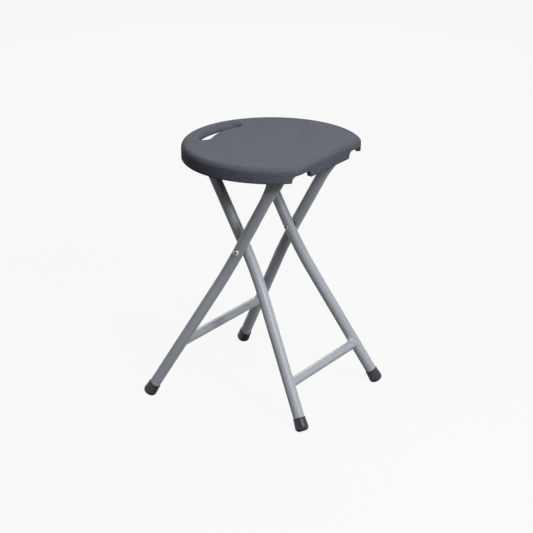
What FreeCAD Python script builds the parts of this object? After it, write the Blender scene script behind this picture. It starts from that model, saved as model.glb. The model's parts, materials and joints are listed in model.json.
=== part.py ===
import FreeCAD, Part
import math
import os

Vector = FreeCAD.Vector
ORIGIN = Vector(0, 0, 0)
Y_AXIS = Vector(0, 1, 0)
Z_AXIS = Vector(0, 0, 1)

# All lengths are millimetres and all angles are degrees.
# The origin is on the floor, midway between the four feet. +Z is up, +X points from the carrying
# slot towards the flat side of the seat, and left is +Y.

# Seat: a round blow-moulded panel with one flat side and a carrying slot opposite it
SEAT_HEIGHT = 449.2
SEAT_RADIUS = 152.5
SEAT_CENTRE_X = 8.5
FLAT_OFFSET = 114.8
FLAT_CORNER_RADIUS = 32.0
TOP_EDGE_RADIUS = 9.0
RIM_DEPTH = 26.5
RIM_WALL = 8.5
RIM_OUTER_EDGE_RADIUS = 1.8
RIM_INNER_EDGE_RADIUS = 3.0
PANEL_THICKNESS = 13.0
RECESS_FILLET = 3.0

# Carrying slot through the panel
SLOT_INNER_RADIUS = 105.4
SLOT_OUTER_RADIUS = 127.4
SLOT_HALF_ANGLE = 22.0
SLOT_TOP_ROUNDING = 4.5
SLOT_UNDER_ROUNDING = 6.0

# Raised stretch of rim outside the slot, so that the fingers can close round the grip
GRIP_DEPTH = 17.5
GRIP_HALF_WIDTH = 46.0
GRIP_RUN_OUT = 20.0
GRIP_CUT_LENGTH = 50.0

# Leg notches in the rim of the flat side
NOTCH_FROM_Y = 60.0
NOTCH_TO_Y = 106.0
NOTCH_CEILING_DEPTH = 15.0
NOTCH_INNER_ROUNDING = 8.6
NOTCH_OUTER_ROUNDING = 6.5
NOTCH_MOUTH_ROUNDING = 2.5
NOTCH_FROM_X = 82.0

# Scissor frame
TUBE_RADIUS = 9.5
TUBE_WALL = 1.2
PIVOT_HEIGHT = 278.6
LEG_SLOPE = 61.2
OUTER_LEG_Y = 87.6
INNER_LEG_Y = 67.2
BEND_RADIUS = 452.0
BEND_BELOW_PIVOT = 43.0
OUTER_SPLAY = 11.9
INNER_SPLAY = 11.5
TOP_BEND_RADIUS = 28.0
SUPPORT_DEPTH = 28.5

# Crossbars, by the height of their centre lines above the floor
CROSSBAR_RADIUS = 8.0
OUTER_CROSSBAR_HEIGHT = 101.8
INNER_CROSSBAR_HEIGHT = 71.2
WELD_SIZE = 2.5
WELD_STUB = 34.0

# Flattened tops of the outer legs, measured along the leg from the scissor pivot
FLARE_START = 106.0
FLARE_END = 152.0
FLARE_SECTIONS = 6
BORE_SECTIONS = 5
FLAT_HALF_WIDTH = 13.6
FLAT_HALF_THICKNESS = 1.5
FLAT_SQUARENESS = 4.0
FLARE_EASE = 1.25
SECTION_POINTS = 24

# Seat hinges
HINGE_PIN_RADIUS = 3.0
RUNNING_CLEARANCE = 0.06
EAR_GAP = 5.2
SHEET = 2.0
EAR_RADIUS = 8.0
BRACKET_LENGTH = 30.0
BRACKET_WIDTH = 40.0
BRACKET_CORNER_RADIUS = 4.0
BRACKET_SLOT_BACK = 11.0
PIN_HEAD_RADIUS = 5.0
PIN_HEAD_HEIGHT = 2.0
WASHER_RADIUS = 6.5
WASHER_THICKNESS = 0.8

# Scissor rivets
RIVET_RADIUS = 3.0
RIVET_HEAD_RADIUS = 5.6
RIVET_HEAD_HEIGHT = 2.8
RIVET_TAIL_RADIUS = 4.2
RIVET_TAIL_HEIGHT = 2.0
RIVET_HEAD_SEAT = 2.0
RIVET_HEAD_CLEARANCE = 0.15
SPACER_RADIUS = 7.0
SPACER_THICKNESS = 0.6
MOVING_GAP = 0.3

# Catch that the inner frame's top bar rests in, and the moulded ribs either side of it
CATCH_HALF_WIDTH = 20.0
CATCH_LIP_BACK_X = -100.5
CATCH_LIP_DEPTH = 31.5
CATCH_BODY_FRONT_X = -74.0
CATCH_BODY_DEPTH = 23.0
CATCH_FLANGE_FRONT_X = -58.0
CATCH_FLANGE_THICKNESS = 5.0
CATCH_SCREW_Y = 12.0
RIB_FROM_Y = 24.0
RIB_TO_Y = 33.0
RIB_BACK_X = -94.0
RIB_FRONT_X = -80.0

# Pan-head screws
SCREW_RADIUS = 2.0
SCREW_HEAD_RADIUS = 4.0
SCREW_HEAD_HEIGHT = 2.4
SCREW_BITE = 8.0
SCREW_EDGE_MARGIN = 1.5
SCREW_SLOT_WIDTH = 0.9
SCREW_SLOT_LENGTH = 4.2
SCREW_SLOT_DEPTH = 1.2
PILOT_CLEARANCE = 0.05

# Foot caps, as a sleeve over each tube end
CAP_LENGTH = 23.2
CAP_LIP_RADIUS = 10.5
CAP_FOOT_RADIUS = 11.2
CAP_ROUNDING = 8.5
CAP_LIP_ROUNDING = 0.5
CAP_BASE = 6.0
CAP_BORE_CLEARANCE = 0.05
CAP_END_HEIGHT = 1.9

# Places worked out from the dimensions above
SLOPE_SIN = math.sin(math.radians(LEG_SLOPE))
LEG_TILT = 90.0 - LEG_SLOPE
RIM_BOTTOM = SEAT_HEIGHT - RIM_DEPTH
PANEL_BOTTOM = SEAT_HEIGHT - PANEL_THICKNESS
SUPPORT_HEIGHT = SEAT_HEIGHT - SUPPORT_DEPTH
SUPPORT_ALONG = (SUPPORT_HEIGHT - PIVOT_HEIGHT) / SLOPE_SIN
SUPPORT_X = SUPPORT_ALONG * math.cos(math.radians(LEG_SLOPE))
FOOT_ALONG = -(PIVOT_HEIGHT - CAP_END_HEIGHT) / SLOPE_SIN
SIDES = {"left": 1, "right": -1}
FLARE_STEP = (FLARE_END - FLARE_START) / (FLARE_SECTIONS - 1)
EDGE_TOLERANCE = 1e-4

# How far the middle of a quarter round of radius 1 lies from each of its two tangents
QUARTER_MIDDLE = 1 - math.sqrt(0.5)


def line(start, end):
    return Part.LineSegment(start, end).toShape()


def arc(start, middle, end):
    return Part.Arc(start, middle, end).toShape()


def seat_point(x, y, z):
    """A point given from the seat's own centre line, in the whole stool's frame."""
    return Vector(SEAT_CENTRE_X + x, y, z)


def polar(radius, degrees, z):
    angle = math.radians(degrees)
    return seat_point(radius * math.cos(angle), radius * math.sin(angle), z)


def cylinder(start, end, radius):
    axis = end - start
    return Part.makeCylinder(radius, axis.Length, start, axis)


def box(low, high):
    size = high - low
    return Part.makeBox(size.x, size.y, size.z, low)


def middle_vertex(edge):
    return Part.Vertex(edge.valueAt((edge.FirstParameter + edge.LastParameter) / 2))


def edges_at_height(shape, z):
    found = []
    for edge in shape.Edges:
        heights = [vertex.Z for vertex in edge.Vertexes + [middle_vertex(edge)]]
        if all(abs(height - z) < EDGE_TOLERANCE for height in heights):
            found.append(edge)
    return found


# Seat

def seat_outline(inset, z):
    """The seat's plan: most of a circle, a flat side, and round corners between them."""
    radius = SEAT_RADIUS - inset
    corner = FLAT_CORNER_RADIUS - inset
    flat = FLAT_OFFSET - inset
    corner_x = flat - corner
    corner_y = math.sqrt((radius - corner) ** 2 - corner_x ** 2)
    turn = math.atan2(corner_y, corner_x)
    middle_x = corner_x + corner * math.cos(turn / 2)
    middle_y = corner_y + corner * math.sin(turn / 2)
    round_x = radius * math.cos(turn)
    round_y = radius * math.sin(turn)
    round_start = seat_point(round_x, round_y, z)
    round_end = seat_point(round_x, -round_y, z)
    flat_start = seat_point(flat, -corner_y, z)
    flat_end = seat_point(flat, corner_y, z)
    return Part.Wire([
        arc(round_start, seat_point(-radius, 0, z), round_end),
        arc(round_end, seat_point(middle_x, -middle_y, z), flat_start),
        line(flat_start, flat_end),
        arc(flat_end, seat_point(middle_x, middle_y, z), round_start),
    ])


def grip_relief():
    """What is taken from under the rim at the grip: a flat ceiling, run out in an S at both ends."""
    ceiling = SEAT_HEIGHT - GRIP_DEPTH
    rise = ceiling - RIM_BOTTOM
    radius = (GRIP_RUN_OUT ** 2 + rise ** 2) / (4 * rise)
    turn = 2 * math.atan2(rise, GRIP_RUN_OUT)
    end_y = GRIP_HALF_WIDTH + GRIP_RUN_OUT
    below = RIM_BOTTOM - rise

    def at(y, z):
        return seat_point(-SEAT_RADIUS - RIM_WALL, y, z)

    def upper(side, angle):
        y = GRIP_HALF_WIDTH + radius * math.sin(angle)
        return at(side * y, ceiling - radius * (1 - math.cos(angle)))

    def lower(side, angle):
        y = end_y - radius * math.sin(angle)
        return at(side * y, RIM_BOTTOM + radius * (1 - math.cos(angle)))

    wire = Part.Wire([
        line(upper(-1, 0), upper(1, 0)),
        arc(upper(1, 0), upper(1, turn / 2), upper(1, turn)),
        arc(lower(1, turn), lower(1, turn / 2), lower(1, 0)),
        line(at(end_y, RIM_BOTTOM), at(end_y, below)),
        line(at(end_y, below), at(-end_y, below)),
        line(at(-end_y, below), at(-end_y, RIM_BOTTOM)),
        arc(lower(-1, 0), lower(-1, turn / 2), lower(-1, turn)),
        arc(upper(-1, turn), upper(-1, turn / 2), upper(-1, 0)),
    ])
    return Part.Face(wire).extrude(Vector(GRIP_CUT_LENGTH, 0, 0))


def rim_edges(seat, inset):
    """The lower edges of one wall of the rim, all the way round."""
    found = []
    for edge in seat.Edges:
        middle = middle_vertex(edge)
        low = middle.Z < SEAT_HEIGHT - GRIP_DEPTH + EDGE_TOLERANCE
        level = edge.BoundBox.ZLength < RIM_DEPTH - GRIP_DEPTH
        if low and level and seat_outline(inset, middle.Z).distToShape(middle)[0] < EDGE_TOLERANCE:
            found.append(edge)
    return found


def seat_block():
    """The outer form of the seat with its round top edge and the recess under the panel."""
    block = Part.Face(seat_outline(0, RIM_BOTTOM)).extrude(Z_AXIS * RIM_DEPTH)
    block = block.makeFillet(TOP_EDGE_RADIUS, edges_at_height(block, SEAT_HEIGHT))
    recess = Part.Face(seat_outline(RIM_WALL, RIM_BOTTOM)).extrude(Z_AXIS * (PANEL_BOTTOM - RIM_BOTTOM))
    recess = recess.makeFillet(RECESS_FILLET, edges_at_height(recess, PANEL_BOTTOM))
    block = block.cut([recess, grip_relief()])
    block = block.makeFillet(RIM_OUTER_EDGE_RADIUS, rim_edges(block, 0))
    return block.makeFillet(RIM_INNER_EDGE_RADIUS, rim_edges(block, RIM_WALL))


def slot_cutter():
    """An arc-shaped slot with half-round ends."""
    z = RIM_BOTTOM
    middle_radius = (SLOT_INNER_RADIUS + SLOT_OUTER_RADIUS) / 2
    end_radius = (SLOT_OUTER_RADIUS - SLOT_INNER_RADIUS) / 2
    first = 180.0 - SLOT_HALF_ANGLE
    last = 180.0 + SLOT_HALF_ANGLE

    def inner(degrees):
        return polar(SLOT_INNER_RADIUS, degrees, z)

    def outer(degrees):
        return polar(SLOT_OUTER_RADIUS, degrees, z)

    def end_middle(degrees, turn):
        """The outermost point of a half-round end."""
        step = polar(end_radius, degrees + turn, 0) - seat_point(0, 0, 0)
        return polar(middle_radius, degrees, z) + step

    wire = Part.Wire([
        arc(inner(first), inner(180.0), inner(last)),
        arc(inner(last), end_middle(last, 90.0), outer(last)),
        arc(outer(last), outer(180.0), outer(first)),
        arc(outer(first), end_middle(first, -90.0), inner(first)),
    ])
    return Part.Face(wire).extrude(Z_AXIS * RIM_DEPTH)


def notch_cutter(side):
    """The opening in the rim that a folded leg lies in, rounded at its ceiling and at its mouth."""
    ceiling = SEAT_HEIGHT - NOTCH_CEILING_DEPTH
    below = RIM_BOTTOM - NOTCH_MOUTH_ROUNDING
    mouth = NOTCH_MOUTH_ROUNDING

    def at(y, z):
        return seat_point(NOTCH_FROM_X, side * y, z)

    def corner(y, z, step_y, step_z):
        """A quarter round at (y, z), from its end along Z to its end along Y."""
        middle = at(y + QUARTER_MIDDLE * step_y, z + QUARTER_MIDDLE * step_z)
        return arc(at(y, z + step_z), middle, at(y + step_y, z))

    inner = NOTCH_FROM_Y
    outer = NOTCH_TO_Y
    wire = Part.Wire([
        line(at(inner - mouth, below), at(inner - mouth, RIM_BOTTOM)),
        corner(inner, RIM_BOTTOM, -mouth, mouth),
        line(at(inner, RIM_BOTTOM + mouth), at(inner, ceiling - NOTCH_INNER_ROUNDING)),
        corner(inner, ceiling, NOTCH_INNER_ROUNDING, -NOTCH_INNER_ROUNDING),
        line(at(inner + NOTCH_INNER_ROUNDING, ceiling), at(outer - NOTCH_OUTER_ROUNDING, ceiling)),
        corner(outer, ceiling, -NOTCH_OUTER_ROUNDING, -NOTCH_OUTER_ROUNDING),
        line(at(outer, ceiling - NOTCH_OUTER_ROUNDING), at(outer, RIM_BOTTOM + mouth)),
        corner(outer, RIM_BOTTOM, mouth, mouth),
        line(at(outer + mouth, RIM_BOTTOM), at(outer + mouth, below)),
        line(at(outer + mouth, below), at(inner - mouth, below)),
    ])
    reach = FLAT_OFFSET + RIM_WALL - NOTCH_FROM_X
    return Part.Face(wire).extrude(Vector(reach, 0, 0))


def bar_groove(radius):
    """A cylinder along the inner frame's top bar, for cutting grooves round it."""
    start = Vector(-SUPPORT_X, -INNER_LEG_Y, SUPPORT_HEIGHT)
    end = Vector(-SUPPORT_X, INNER_LEG_Y, SUPPORT_HEIGHT)
    return cylinder(start, end, radius)


def rest_rib(side):
    low_y, high_y = sorted((side * RIB_FROM_Y, side * RIB_TO_Y))
    rib = box(seat_point(RIB_BACK_X, low_y, SUPPORT_HEIGHT), seat_point(RIB_FRONT_X, high_y, PANEL_BOTTOM))
    return rib.cut(bar_groove(TUBE_RADIUS + MOVING_GAP)).Solids[0]


def hinge_screw_places():
    places = []
    along = BRACKET_LENGTH / 2 - SCREW_HEAD_RADIUS - SCREW_EDGE_MARGIN
    across = BRACKET_WIDTH / 2 - SCREW_HEAD_RADIUS - SCREW_EDGE_MARGIN
    for side in SIDES.values():
        for step_x in (-along, along):
            for step_y in (-across, across):
                places.append(Vector(SUPPORT_X + step_x, side * OUTER_LEG_Y + step_y, PANEL_BOTTOM - SHEET))
    return places


def catch_screw_places():
    x = (CATCH_BODY_FRONT_X + CATCH_FLANGE_FRONT_X) / 2
    z = PANEL_BOTTOM - CATCH_FLANGE_THICKNESS
    return [seat_point(x, side * CATCH_SCREW_Y, z) for side in SIDES.values()]


def pilot_hole(place):
    top = Vector(place.x, place.y, PANEL_BOTTOM + SCREW_BITE)
    return cylinder(place, top, SCREW_RADIUS + PILOT_CLEARANCE)


def slot_edges(seat, z):
    """The edges of the carrying slot at one height."""
    slot = slot_cutter()
    return [edge for edge in edges_at_height(seat, z)
            if slot.distToShape(middle_vertex(edge))[0] < EDGE_TOLERANCE]


def seat_shell():
    seat = seat_block().cut(slot_cutter())
    seat = seat.makeFillet(SLOT_TOP_ROUNDING, slot_edges(seat, SEAT_HEIGHT))
    seat = seat.makeFillet(SLOT_UNDER_ROUNDING, slot_edges(seat, PANEL_BOTTOM))
    seat = seat.fuse([rest_rib(side) for side in SIDES.values()]).removeSplitter()
    cutters = [notch_cutter(side) for side in SIDES.values()]
    cutters += [pilot_hole(place) for place in hinge_screw_places() + catch_screw_places()]
    return seat.cut(cutters)


# Fasteners

def dome(radius, height):
    """A low round head standing on the XY plane at the origin."""
    sphere_radius = (radius ** 2 + height ** 2) / (2 * height)
    half_angle = math.asin(radius / sphere_radius) / 2
    middle = Vector(sphere_radius * math.sin(half_angle), 0,
                    height - sphere_radius + sphere_radius * math.cos(half_angle))
    profile = Part.Wire([
        line(ORIGIN, Vector(radius, 0, 0)),
        arc(Vector(radius, 0, 0), middle, Vector(0, 0, height)),
        line(Vector(0, 0, height), ORIGIN),
    ])
    return Part.Face(profile).revolve(ORIGIN, Z_AXIS, 360)


def dome_at(place, direction, radius, height):
    head = dome(radius, height)
    head.Placement = FreeCAD.Placement(place, FreeCAD.Rotation(Z_AXIS, direction))
    return head


def screw(place, grip):
    """A pan-head screw driven upwards into the panel, with its head against the piece that it holds."""
    head = dome_at(place, -Z_AXIS, SCREW_HEAD_RADIUS, SCREW_HEAD_HEIGHT)
    slot_top = place.z - SCREW_HEAD_HEIGHT + SCREW_SLOT_DEPTH
    slot_bottom = place.z - SCREW_HEAD_HEIGHT
    half_length = SCREW_SLOT_LENGTH / 2
    half_width = SCREW_SLOT_WIDTH / 2
    for half_x, half_y in ((half_length, half_width), (half_width, half_length)):
        low = Vector(place.x - half_x, place.y - half_y, slot_bottom)
        high = Vector(place.x + half_x, place.y + half_y, slot_top)
        head = head.cut(box(low, high))
    shank = cylinder(place, place + Z_AXIS * (grip + SCREW_BITE), SCREW_RADIUS)
    return head.fuse(shank)


def ring(place, direction, outer, inner, thickness):
    disc = Part.makeCylinder(outer, thickness, place, direction)
    return disc.cut(Part.makeCylinder(inner, thickness, place, direction))


# Seat hinges and the catch

def hinge_bracket(side):
    """A pressed plate, slotted for the leg's flattened end, with an ear bent down either side of it."""
    centre = Vector(SUPPORT_X, side * OUTER_LEG_Y, PANEL_BOTTOM)
    half = Vector(BRACKET_LENGTH / 2, BRACKET_WIDTH / 2, 0)
    plate = box(centre - half - Z_AXIS * SHEET, centre + half)
    corners = [edge for edge in plate.Edges if edge.BoundBox.ZLength > SHEET / 2]
    plate = plate.makeFillet(BRACKET_CORNER_RADIUS, corners)
    slot_low = centre - Vector(BRACKET_SLOT_BACK, EAR_GAP / 2, SHEET)
    bracket = plate.cut(box(slot_low, centre + Vector(BRACKET_LENGTH / 2, EAR_GAP / 2, 0)))
    for inner in (-EAR_GAP / 2 - SHEET, EAR_GAP / 2):
        low = Vector(centre.x - EAR_RADIUS, centre.y + inner, SUPPORT_HEIGHT)
        high = Vector(centre.x + EAR_RADIUS, centre.y + inner + SHEET, PANEL_BOTTOM - SHEET)
        round_end = Part.makeCylinder(EAR_RADIUS, SHEET, Vector(centre.x, low.y, SUPPORT_HEIGHT), Y_AXIS)
        bracket = bracket.fuse([box(low, high), round_end])
    pin_hole = cylinder(Vector(centre.x, centre.y - BRACKET_WIDTH / 2, SUPPORT_HEIGHT),
                        Vector(centre.x, centre.y + BRACKET_WIDTH / 2, SUPPORT_HEIGHT), HINGE_PIN_RADIUS)
    holes = [pilot_hole(place) for place in hinge_screw_places() if place.y * side > 0]
    return bracket.cut([pin_hole] + holes).removeSplitter()


def hinge_pin(side):
    """A shouldered rivet through both ears of a bracket."""
    reach = EAR_GAP / 2 + SHEET
    inner = Vector(SUPPORT_X, side * OUTER_LEG_Y - reach, SUPPORT_HEIGHT)
    outer = Vector(SUPPORT_X, side * OUTER_LEG_Y + reach, SUPPORT_HEIGHT)
    shank = cylinder(inner, outer, HINGE_PIN_RADIUS)
    heads = [dome_at(inner, -Y_AXIS, PIN_HEAD_RADIUS, PIN_HEAD_HEIGHT),
             dome_at(outer, Y_AXIS, PIN_HEAD_RADIUS, PIN_HEAD_HEIGHT)]
    return shank.fuse(heads)


def hinge_washers():
    """A thin washer on each pin, on both sides of the flattened leg end."""
    slack = (EAR_GAP / 2 - FLAT_HALF_THICKNESS - WASHER_THICKNESS) / 2
    bore = HINGE_PIN_RADIUS + PILOT_CLEARANCE
    washers = []
    for side in SIDES.values():
        for offset in (FLAT_HALF_THICKNESS + slack, -FLAT_HALF_THICKNESS - slack - WASHER_THICKNESS):
            place = Vector(SUPPORT_X, side * OUTER_LEG_Y + offset, SUPPORT_HEIGHT)
            washers.append(ring(place, Y_AXIS, WASHER_RADIUS, bore, WASHER_THICKNESS))
    return Part.makeCompound(washers)


def hinge_screws():
    return Part.makeCompound([screw(place, SHEET) for place in hinge_screw_places()])


def bar_catch():
    """A moulded hook: its lip keeps the top bar from sliding out, and the bar leaves downwards."""
    half = Y_AXIS * CATCH_HALF_WIDTH
    body = box(seat_point(CATCH_LIP_BACK_X, 0, SEAT_HEIGHT - CATCH_BODY_DEPTH) - half,
               seat_point(CATCH_BODY_FRONT_X, 0, PANEL_BOTTOM) + half)
    lip = box(seat_point(CATCH_LIP_BACK_X, 0, SEAT_HEIGHT - CATCH_LIP_DEPTH) - half,
              Vector(-SUPPORT_X - TUBE_RADIUS / 2, CATCH_HALF_WIDTH, SEAT_HEIGHT - CATCH_BODY_DEPTH))
    flange = box(seat_point(CATCH_BODY_FRONT_X, 0, PANEL_BOTTOM - CATCH_FLANGE_THICKNESS) - half,
                 seat_point(CATCH_FLANGE_FRONT_X, 0, PANEL_BOTTOM) + half)
    hook = body.fuse([lip, flange]).removeSplitter()
    cutters = [bar_groove(TUBE_RADIUS + MOVING_GAP)] + [pilot_hole(place) for place in catch_screw_places()]
    return hook.cut(cutters)


def catch_screws():
    return Part.makeCompound([screw(place, CATCH_FLANGE_THICKNESS) for place in catch_screw_places()])


# Tubes. Each frame is drawn upright in the YZ plane with the scissor pivot at the origin,
# and is then leaned to the slope of its legs.

def lean(shape, direction):
    """Stand an upright frame at its slope. direction is 1 with the feet towards -X, and -1 towards +X."""
    return shape.rotated(ORIGIN, Y_AXIS, direction * LEG_TILT).translated(Z_AXIS * PIVOT_HEIGHT)


def leg_axis_y(y_top, splay, z):
    """Distance of the lower, splayed run of a leg from the middle plane."""
    return y_top - (z + BEND_BELOW_PIVOT) * math.tan(math.radians(splay))


def foot_direction(side, splay):
    angle = math.radians(splay)
    return Vector(0, side * math.sin(angle), -math.cos(angle))


def foot_end(side, y_top, splay):
    return Vector(0, side * leg_axis_y(y_top, splay, FOOT_ALONG), FOOT_ALONG)


def lower_leg_edges(side, y_top, splay, z_top):
    """Centre line from z_top down through the long bend to the end of the tube inside the foot cap."""
    angle = math.radians(splay)
    z_bend = BEND_RADIUS * math.tan(angle / 2) - BEND_BELOW_PIVOT

    def on_bend(turn):
        y = y_top + BEND_RADIUS * (1 - math.cos(turn))
        return Vector(0, side * y, z_bend - BEND_RADIUS * math.sin(turn))

    tube_end = foot_end(side, y_top, splay) - foot_direction(side, splay) * CAP_BASE
    return [
        line(Vector(0, side * y_top, z_top), on_bend(0)),
        arc(on_bend(0), on_bend(angle / 2), on_bend(angle)),
        line(on_bend(angle), tube_end),
    ]


def sweep(path_edges, radius):
    start = path_edges[0].valueAt(path_edges[0].FirstParameter)
    tangent = path_edges[0].tangentAt(path_edges[0].FirstParameter)
    profile = Part.Wire([Part.Circle(start, tangent, radius).toShape()])
    return Part.Wire(path_edges).makePipeShell([profile], True, False)


def flat_share(z):
    """How far the outer leg's top has gone from round, 0, to flat, 1, at a place along it."""
    share = ((z - FLARE_START) / (FLARE_END - FLARE_START)) ** FLARE_EASE
    return share * share * (3 - 2 * share)


def leg_top_section(y, z, wall):
    """A closed section of the flattening tube, drawn inwards by the given wall."""
    if z <= FLARE_START:
        return Part.Wire([Part.Circle(Vector(0, y, z), Z_AXIS, TUBE_RADIUS - wall).toShape()])
    share = flat_share(z)
    half_x = TUBE_RADIUS + share * (FLAT_HALF_WIDTH - TUBE_RADIUS) - wall
    half_y = TUBE_RADIUS + share * (FLAT_HALF_THICKNESS - TUBE_RADIUS) - wall
    power = 2.0 / (2.0 + share * (FLAT_SQUARENESS - 2.0))
    points = []
    for step in range(SECTION_POINTS):
        angle = 2 * math.pi * step / SECTION_POINTS
        x = math.copysign(abs(math.cos(angle)) ** power, math.cos(angle)) * half_x
        across = math.copysign(abs(math.sin(angle)) ** power, math.sin(angle)) * half_y
        points.append(Vector(x, y + across, z))
    curve = Part.BSplineCurve()
    curve.interpolate(points, PeriodicFlag=True)
    return Part.Wire([curve.toShape()])


def leg_top(side):
    """The outer leg's end: its bore runs out as it is pressed flat, and its tip is round about the pin."""
    y = side * OUTER_LEG_Y
    stations = [FLARE_START + index * FLARE_STEP for index in range(-1, FLARE_SECTIONS)]
    flare = Part.makeLoft([leg_top_section(y, z, 0) for z in stations], True, False)
    bore = Part.makeLoft([leg_top_section(y, z, TUBE_WALL) for z in stations[:BORE_SECTIONS]], True, False)
    tip = SUPPORT_ALONG + FLAT_HALF_WIDTH
    tongue = Part.Face(leg_top_section(y, FLARE_END, 0)).extrude(Z_AXIS * (tip - FLARE_END))
    pin_start = Vector(0, y - TUBE_RADIUS, SUPPORT_ALONG)
    pin_end = Vector(0, y + TUBE_RADIUS, SUPPORT_ALONG)
    round_tip = cylinder(pin_start, pin_end, FLAT_HALF_WIDTH)
    below_pin = box(Vector(-2 * FLAT_HALF_WIDTH, y - TUBE_RADIUS, FLARE_END),
                    Vector(2 * FLAT_HALF_WIDTH, y + TUBE_RADIUS, SUPPORT_ALONG))
    tongue = tongue.common(round_tip.fuse(below_pin))
    tongue = tongue.cut(cylinder(pin_start, pin_end, HINGE_PIN_RADIUS + RUNNING_CLEARANCE))
    return flare.cut(bore), tongue


def pivot_hole(radius):
    reach = OUTER_LEG_Y + 2 * TUBE_RADIUS
    return cylinder(Vector(0, -reach, 0), Vector(0, reach, 0), radius)


def outer_leg(side):
    path = lower_leg_edges(side, OUTER_LEG_Y, OUTER_SPLAY, FLARE_START - FLARE_STEP)
    tube = sweep(path, TUBE_RADIUS).cut(sweep(path, TUBE_RADIUS - TUBE_WALL))
    tube = tube.cut(pivot_hole(RIVET_RADIUS + PILOT_CLEARANCE))
    flare, tongue = leg_top(side)
    return lean(tube.fuse([flare, tongue]), 1)


def inner_frame_tube():
    """One tube bent into a U: two splayed legs and the top bar between them."""
    z_top = SUPPORT_ALONG
    corner = TOP_BEND_RADIUS
    diagonal = corner * QUARTER_MIDDLE
    edges = []
    for side in (1, -1):
        down = lower_leg_edges(side, INNER_LEG_Y, INNER_SPLAY, z_top - corner)
        bend = arc(Vector(0, side * (INNER_LEG_Y - corner), z_top),
                   Vector(0, side * (INNER_LEG_Y - diagonal), z_top - diagonal),
                   Vector(0, side * INNER_LEG_Y, z_top - corner))
        edges.append([bend] + down)
    bar = line(Vector(0, corner - INNER_LEG_Y, z_top), Vector(0, INNER_LEG_Y - corner, z_top))
    path = Part.sortEdges(edges[0] + [bar] + edges[1])[0]
    tube = sweep(path, TUBE_RADIUS).cut(sweep(path, TUBE_RADIUS - TUBE_WALL))
    return lean(tube.cut(pivot_hole(RIVET_RADIUS + RUNNING_CLEARANCE)), -1)


def crossbar_along(height):
    return -(PIVOT_HEIGHT - height) / SLOPE_SIN


def leg_stub(side, y_top, splay, z):
    """A solid length of leg about a crossbar's end."""
    centre = Vector(0, side * leg_axis_y(y_top, splay, z), z)
    reach = foot_direction(side, splay) * WELD_STUB
    return cylinder(centre - reach, centre + reach, TUBE_RADIUS)


def crossbar(y_top, splay, height, direction):
    """A straight tube cut to fit the round of the legs at both ends."""
    z = crossbar_along(height)
    half = leg_axis_y(y_top, splay, z)
    ends = (Vector(0, -half, z), Vector(0, half, z))
    bar = cylinder(*ends, CROSSBAR_RADIUS).cut(cylinder(*ends, CROSSBAR_RADIUS - TUBE_WALL))
    bar = bar.cut([leg_stub(side, y_top, splay, z) for side in SIDES.values()])
    return lean(bar, direction)


def crossbar_welds(y_top, splay, height, direction):
    """The sloping bead where each end of a crossbar meets its leg."""
    z = crossbar_along(height)
    half = leg_axis_y(y_top, splay, z)
    beads = []
    for side in SIDES.values():
        leg = leg_stub(side, y_top, splay, z)
        bar_start = Vector(0, side * (half - WELD_STUB), z)
        bar = cylinder(bar_start, Vector(0, side * half, z), CROSSBAR_RADIUS)
        joint = leg.fuse(bar).removeSplitter()
        seam = [edge for edge in joint.Edges if is_seam(edge, leg, bar)]
        bead = joint.makeChamfer(WELD_SIZE, seam).cut(joint)
        beads += bead.Solids
    return lean(Part.makeCompound(beads), direction)


def is_seam(edge, leg, bar):
    """Whether an edge lies on the round of both the leg and the crossbar."""
    middle = middle_vertex(edge)
    on_leg = leg.Faces[0].distToShape(middle)[0] < EDGE_TOLERANCE
    on_bar = bar.Faces[0].distToShape(middle)[0] < EDGE_TOLERANCE
    return on_leg and on_bar


# Rivets, spacers and foot caps

def pivot_rivet(side):
    """A rivet through an outer and an inner leg, with heads formed to the round of the tubes."""
    pivot = Vector(0, 0, PIVOT_HEIGHT)
    outer_face = pivot + Y_AXIS * side * (OUTER_LEG_Y + TUBE_RADIUS)
    inner_face = pivot + Y_AXIS * side * (INNER_LEG_Y - TUBE_RADIUS - MOVING_GAP)
    outward = Y_AXIS * side
    shank = cylinder(inner_face, outer_face, RIVET_RADIUS)
    skirt = cylinder(outer_face - outward * RIVET_HEAD_SEAT, outer_face, RIVET_HEAD_RADIUS)
    leg_middle = Y_AXIS * side * OUTER_LEG_Y
    leg = cylinder(leg_middle - Z_AXIS * WELD_STUB, leg_middle + Z_AXIS * WELD_STUB,
                   TUBE_RADIUS + RIVET_HEAD_CLEARANCE)
    head = dome_at(outer_face, outward, RIVET_HEAD_RADIUS, RIVET_HEAD_HEIGHT)
    tail = dome_at(inner_face, -outward, RIVET_TAIL_RADIUS, RIVET_TAIL_HEIGHT)
    return shank.fuse([skirt.cut(lean(leg, 1)), head, tail])


def pivot_spacer(side):
    """A washer that keeps the two legs of a scissor apart."""
    gap_middle = side * (OUTER_LEG_Y + INNER_LEG_Y) / 2
    place = Vector(0, gap_middle - SPACER_THICKNESS / 2, PIVOT_HEIGHT)
    return ring(place, Y_AXIS, SPACER_RADIUS, RIVET_RADIUS + PILOT_CLEARANCE, SPACER_THICKNESS)


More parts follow.
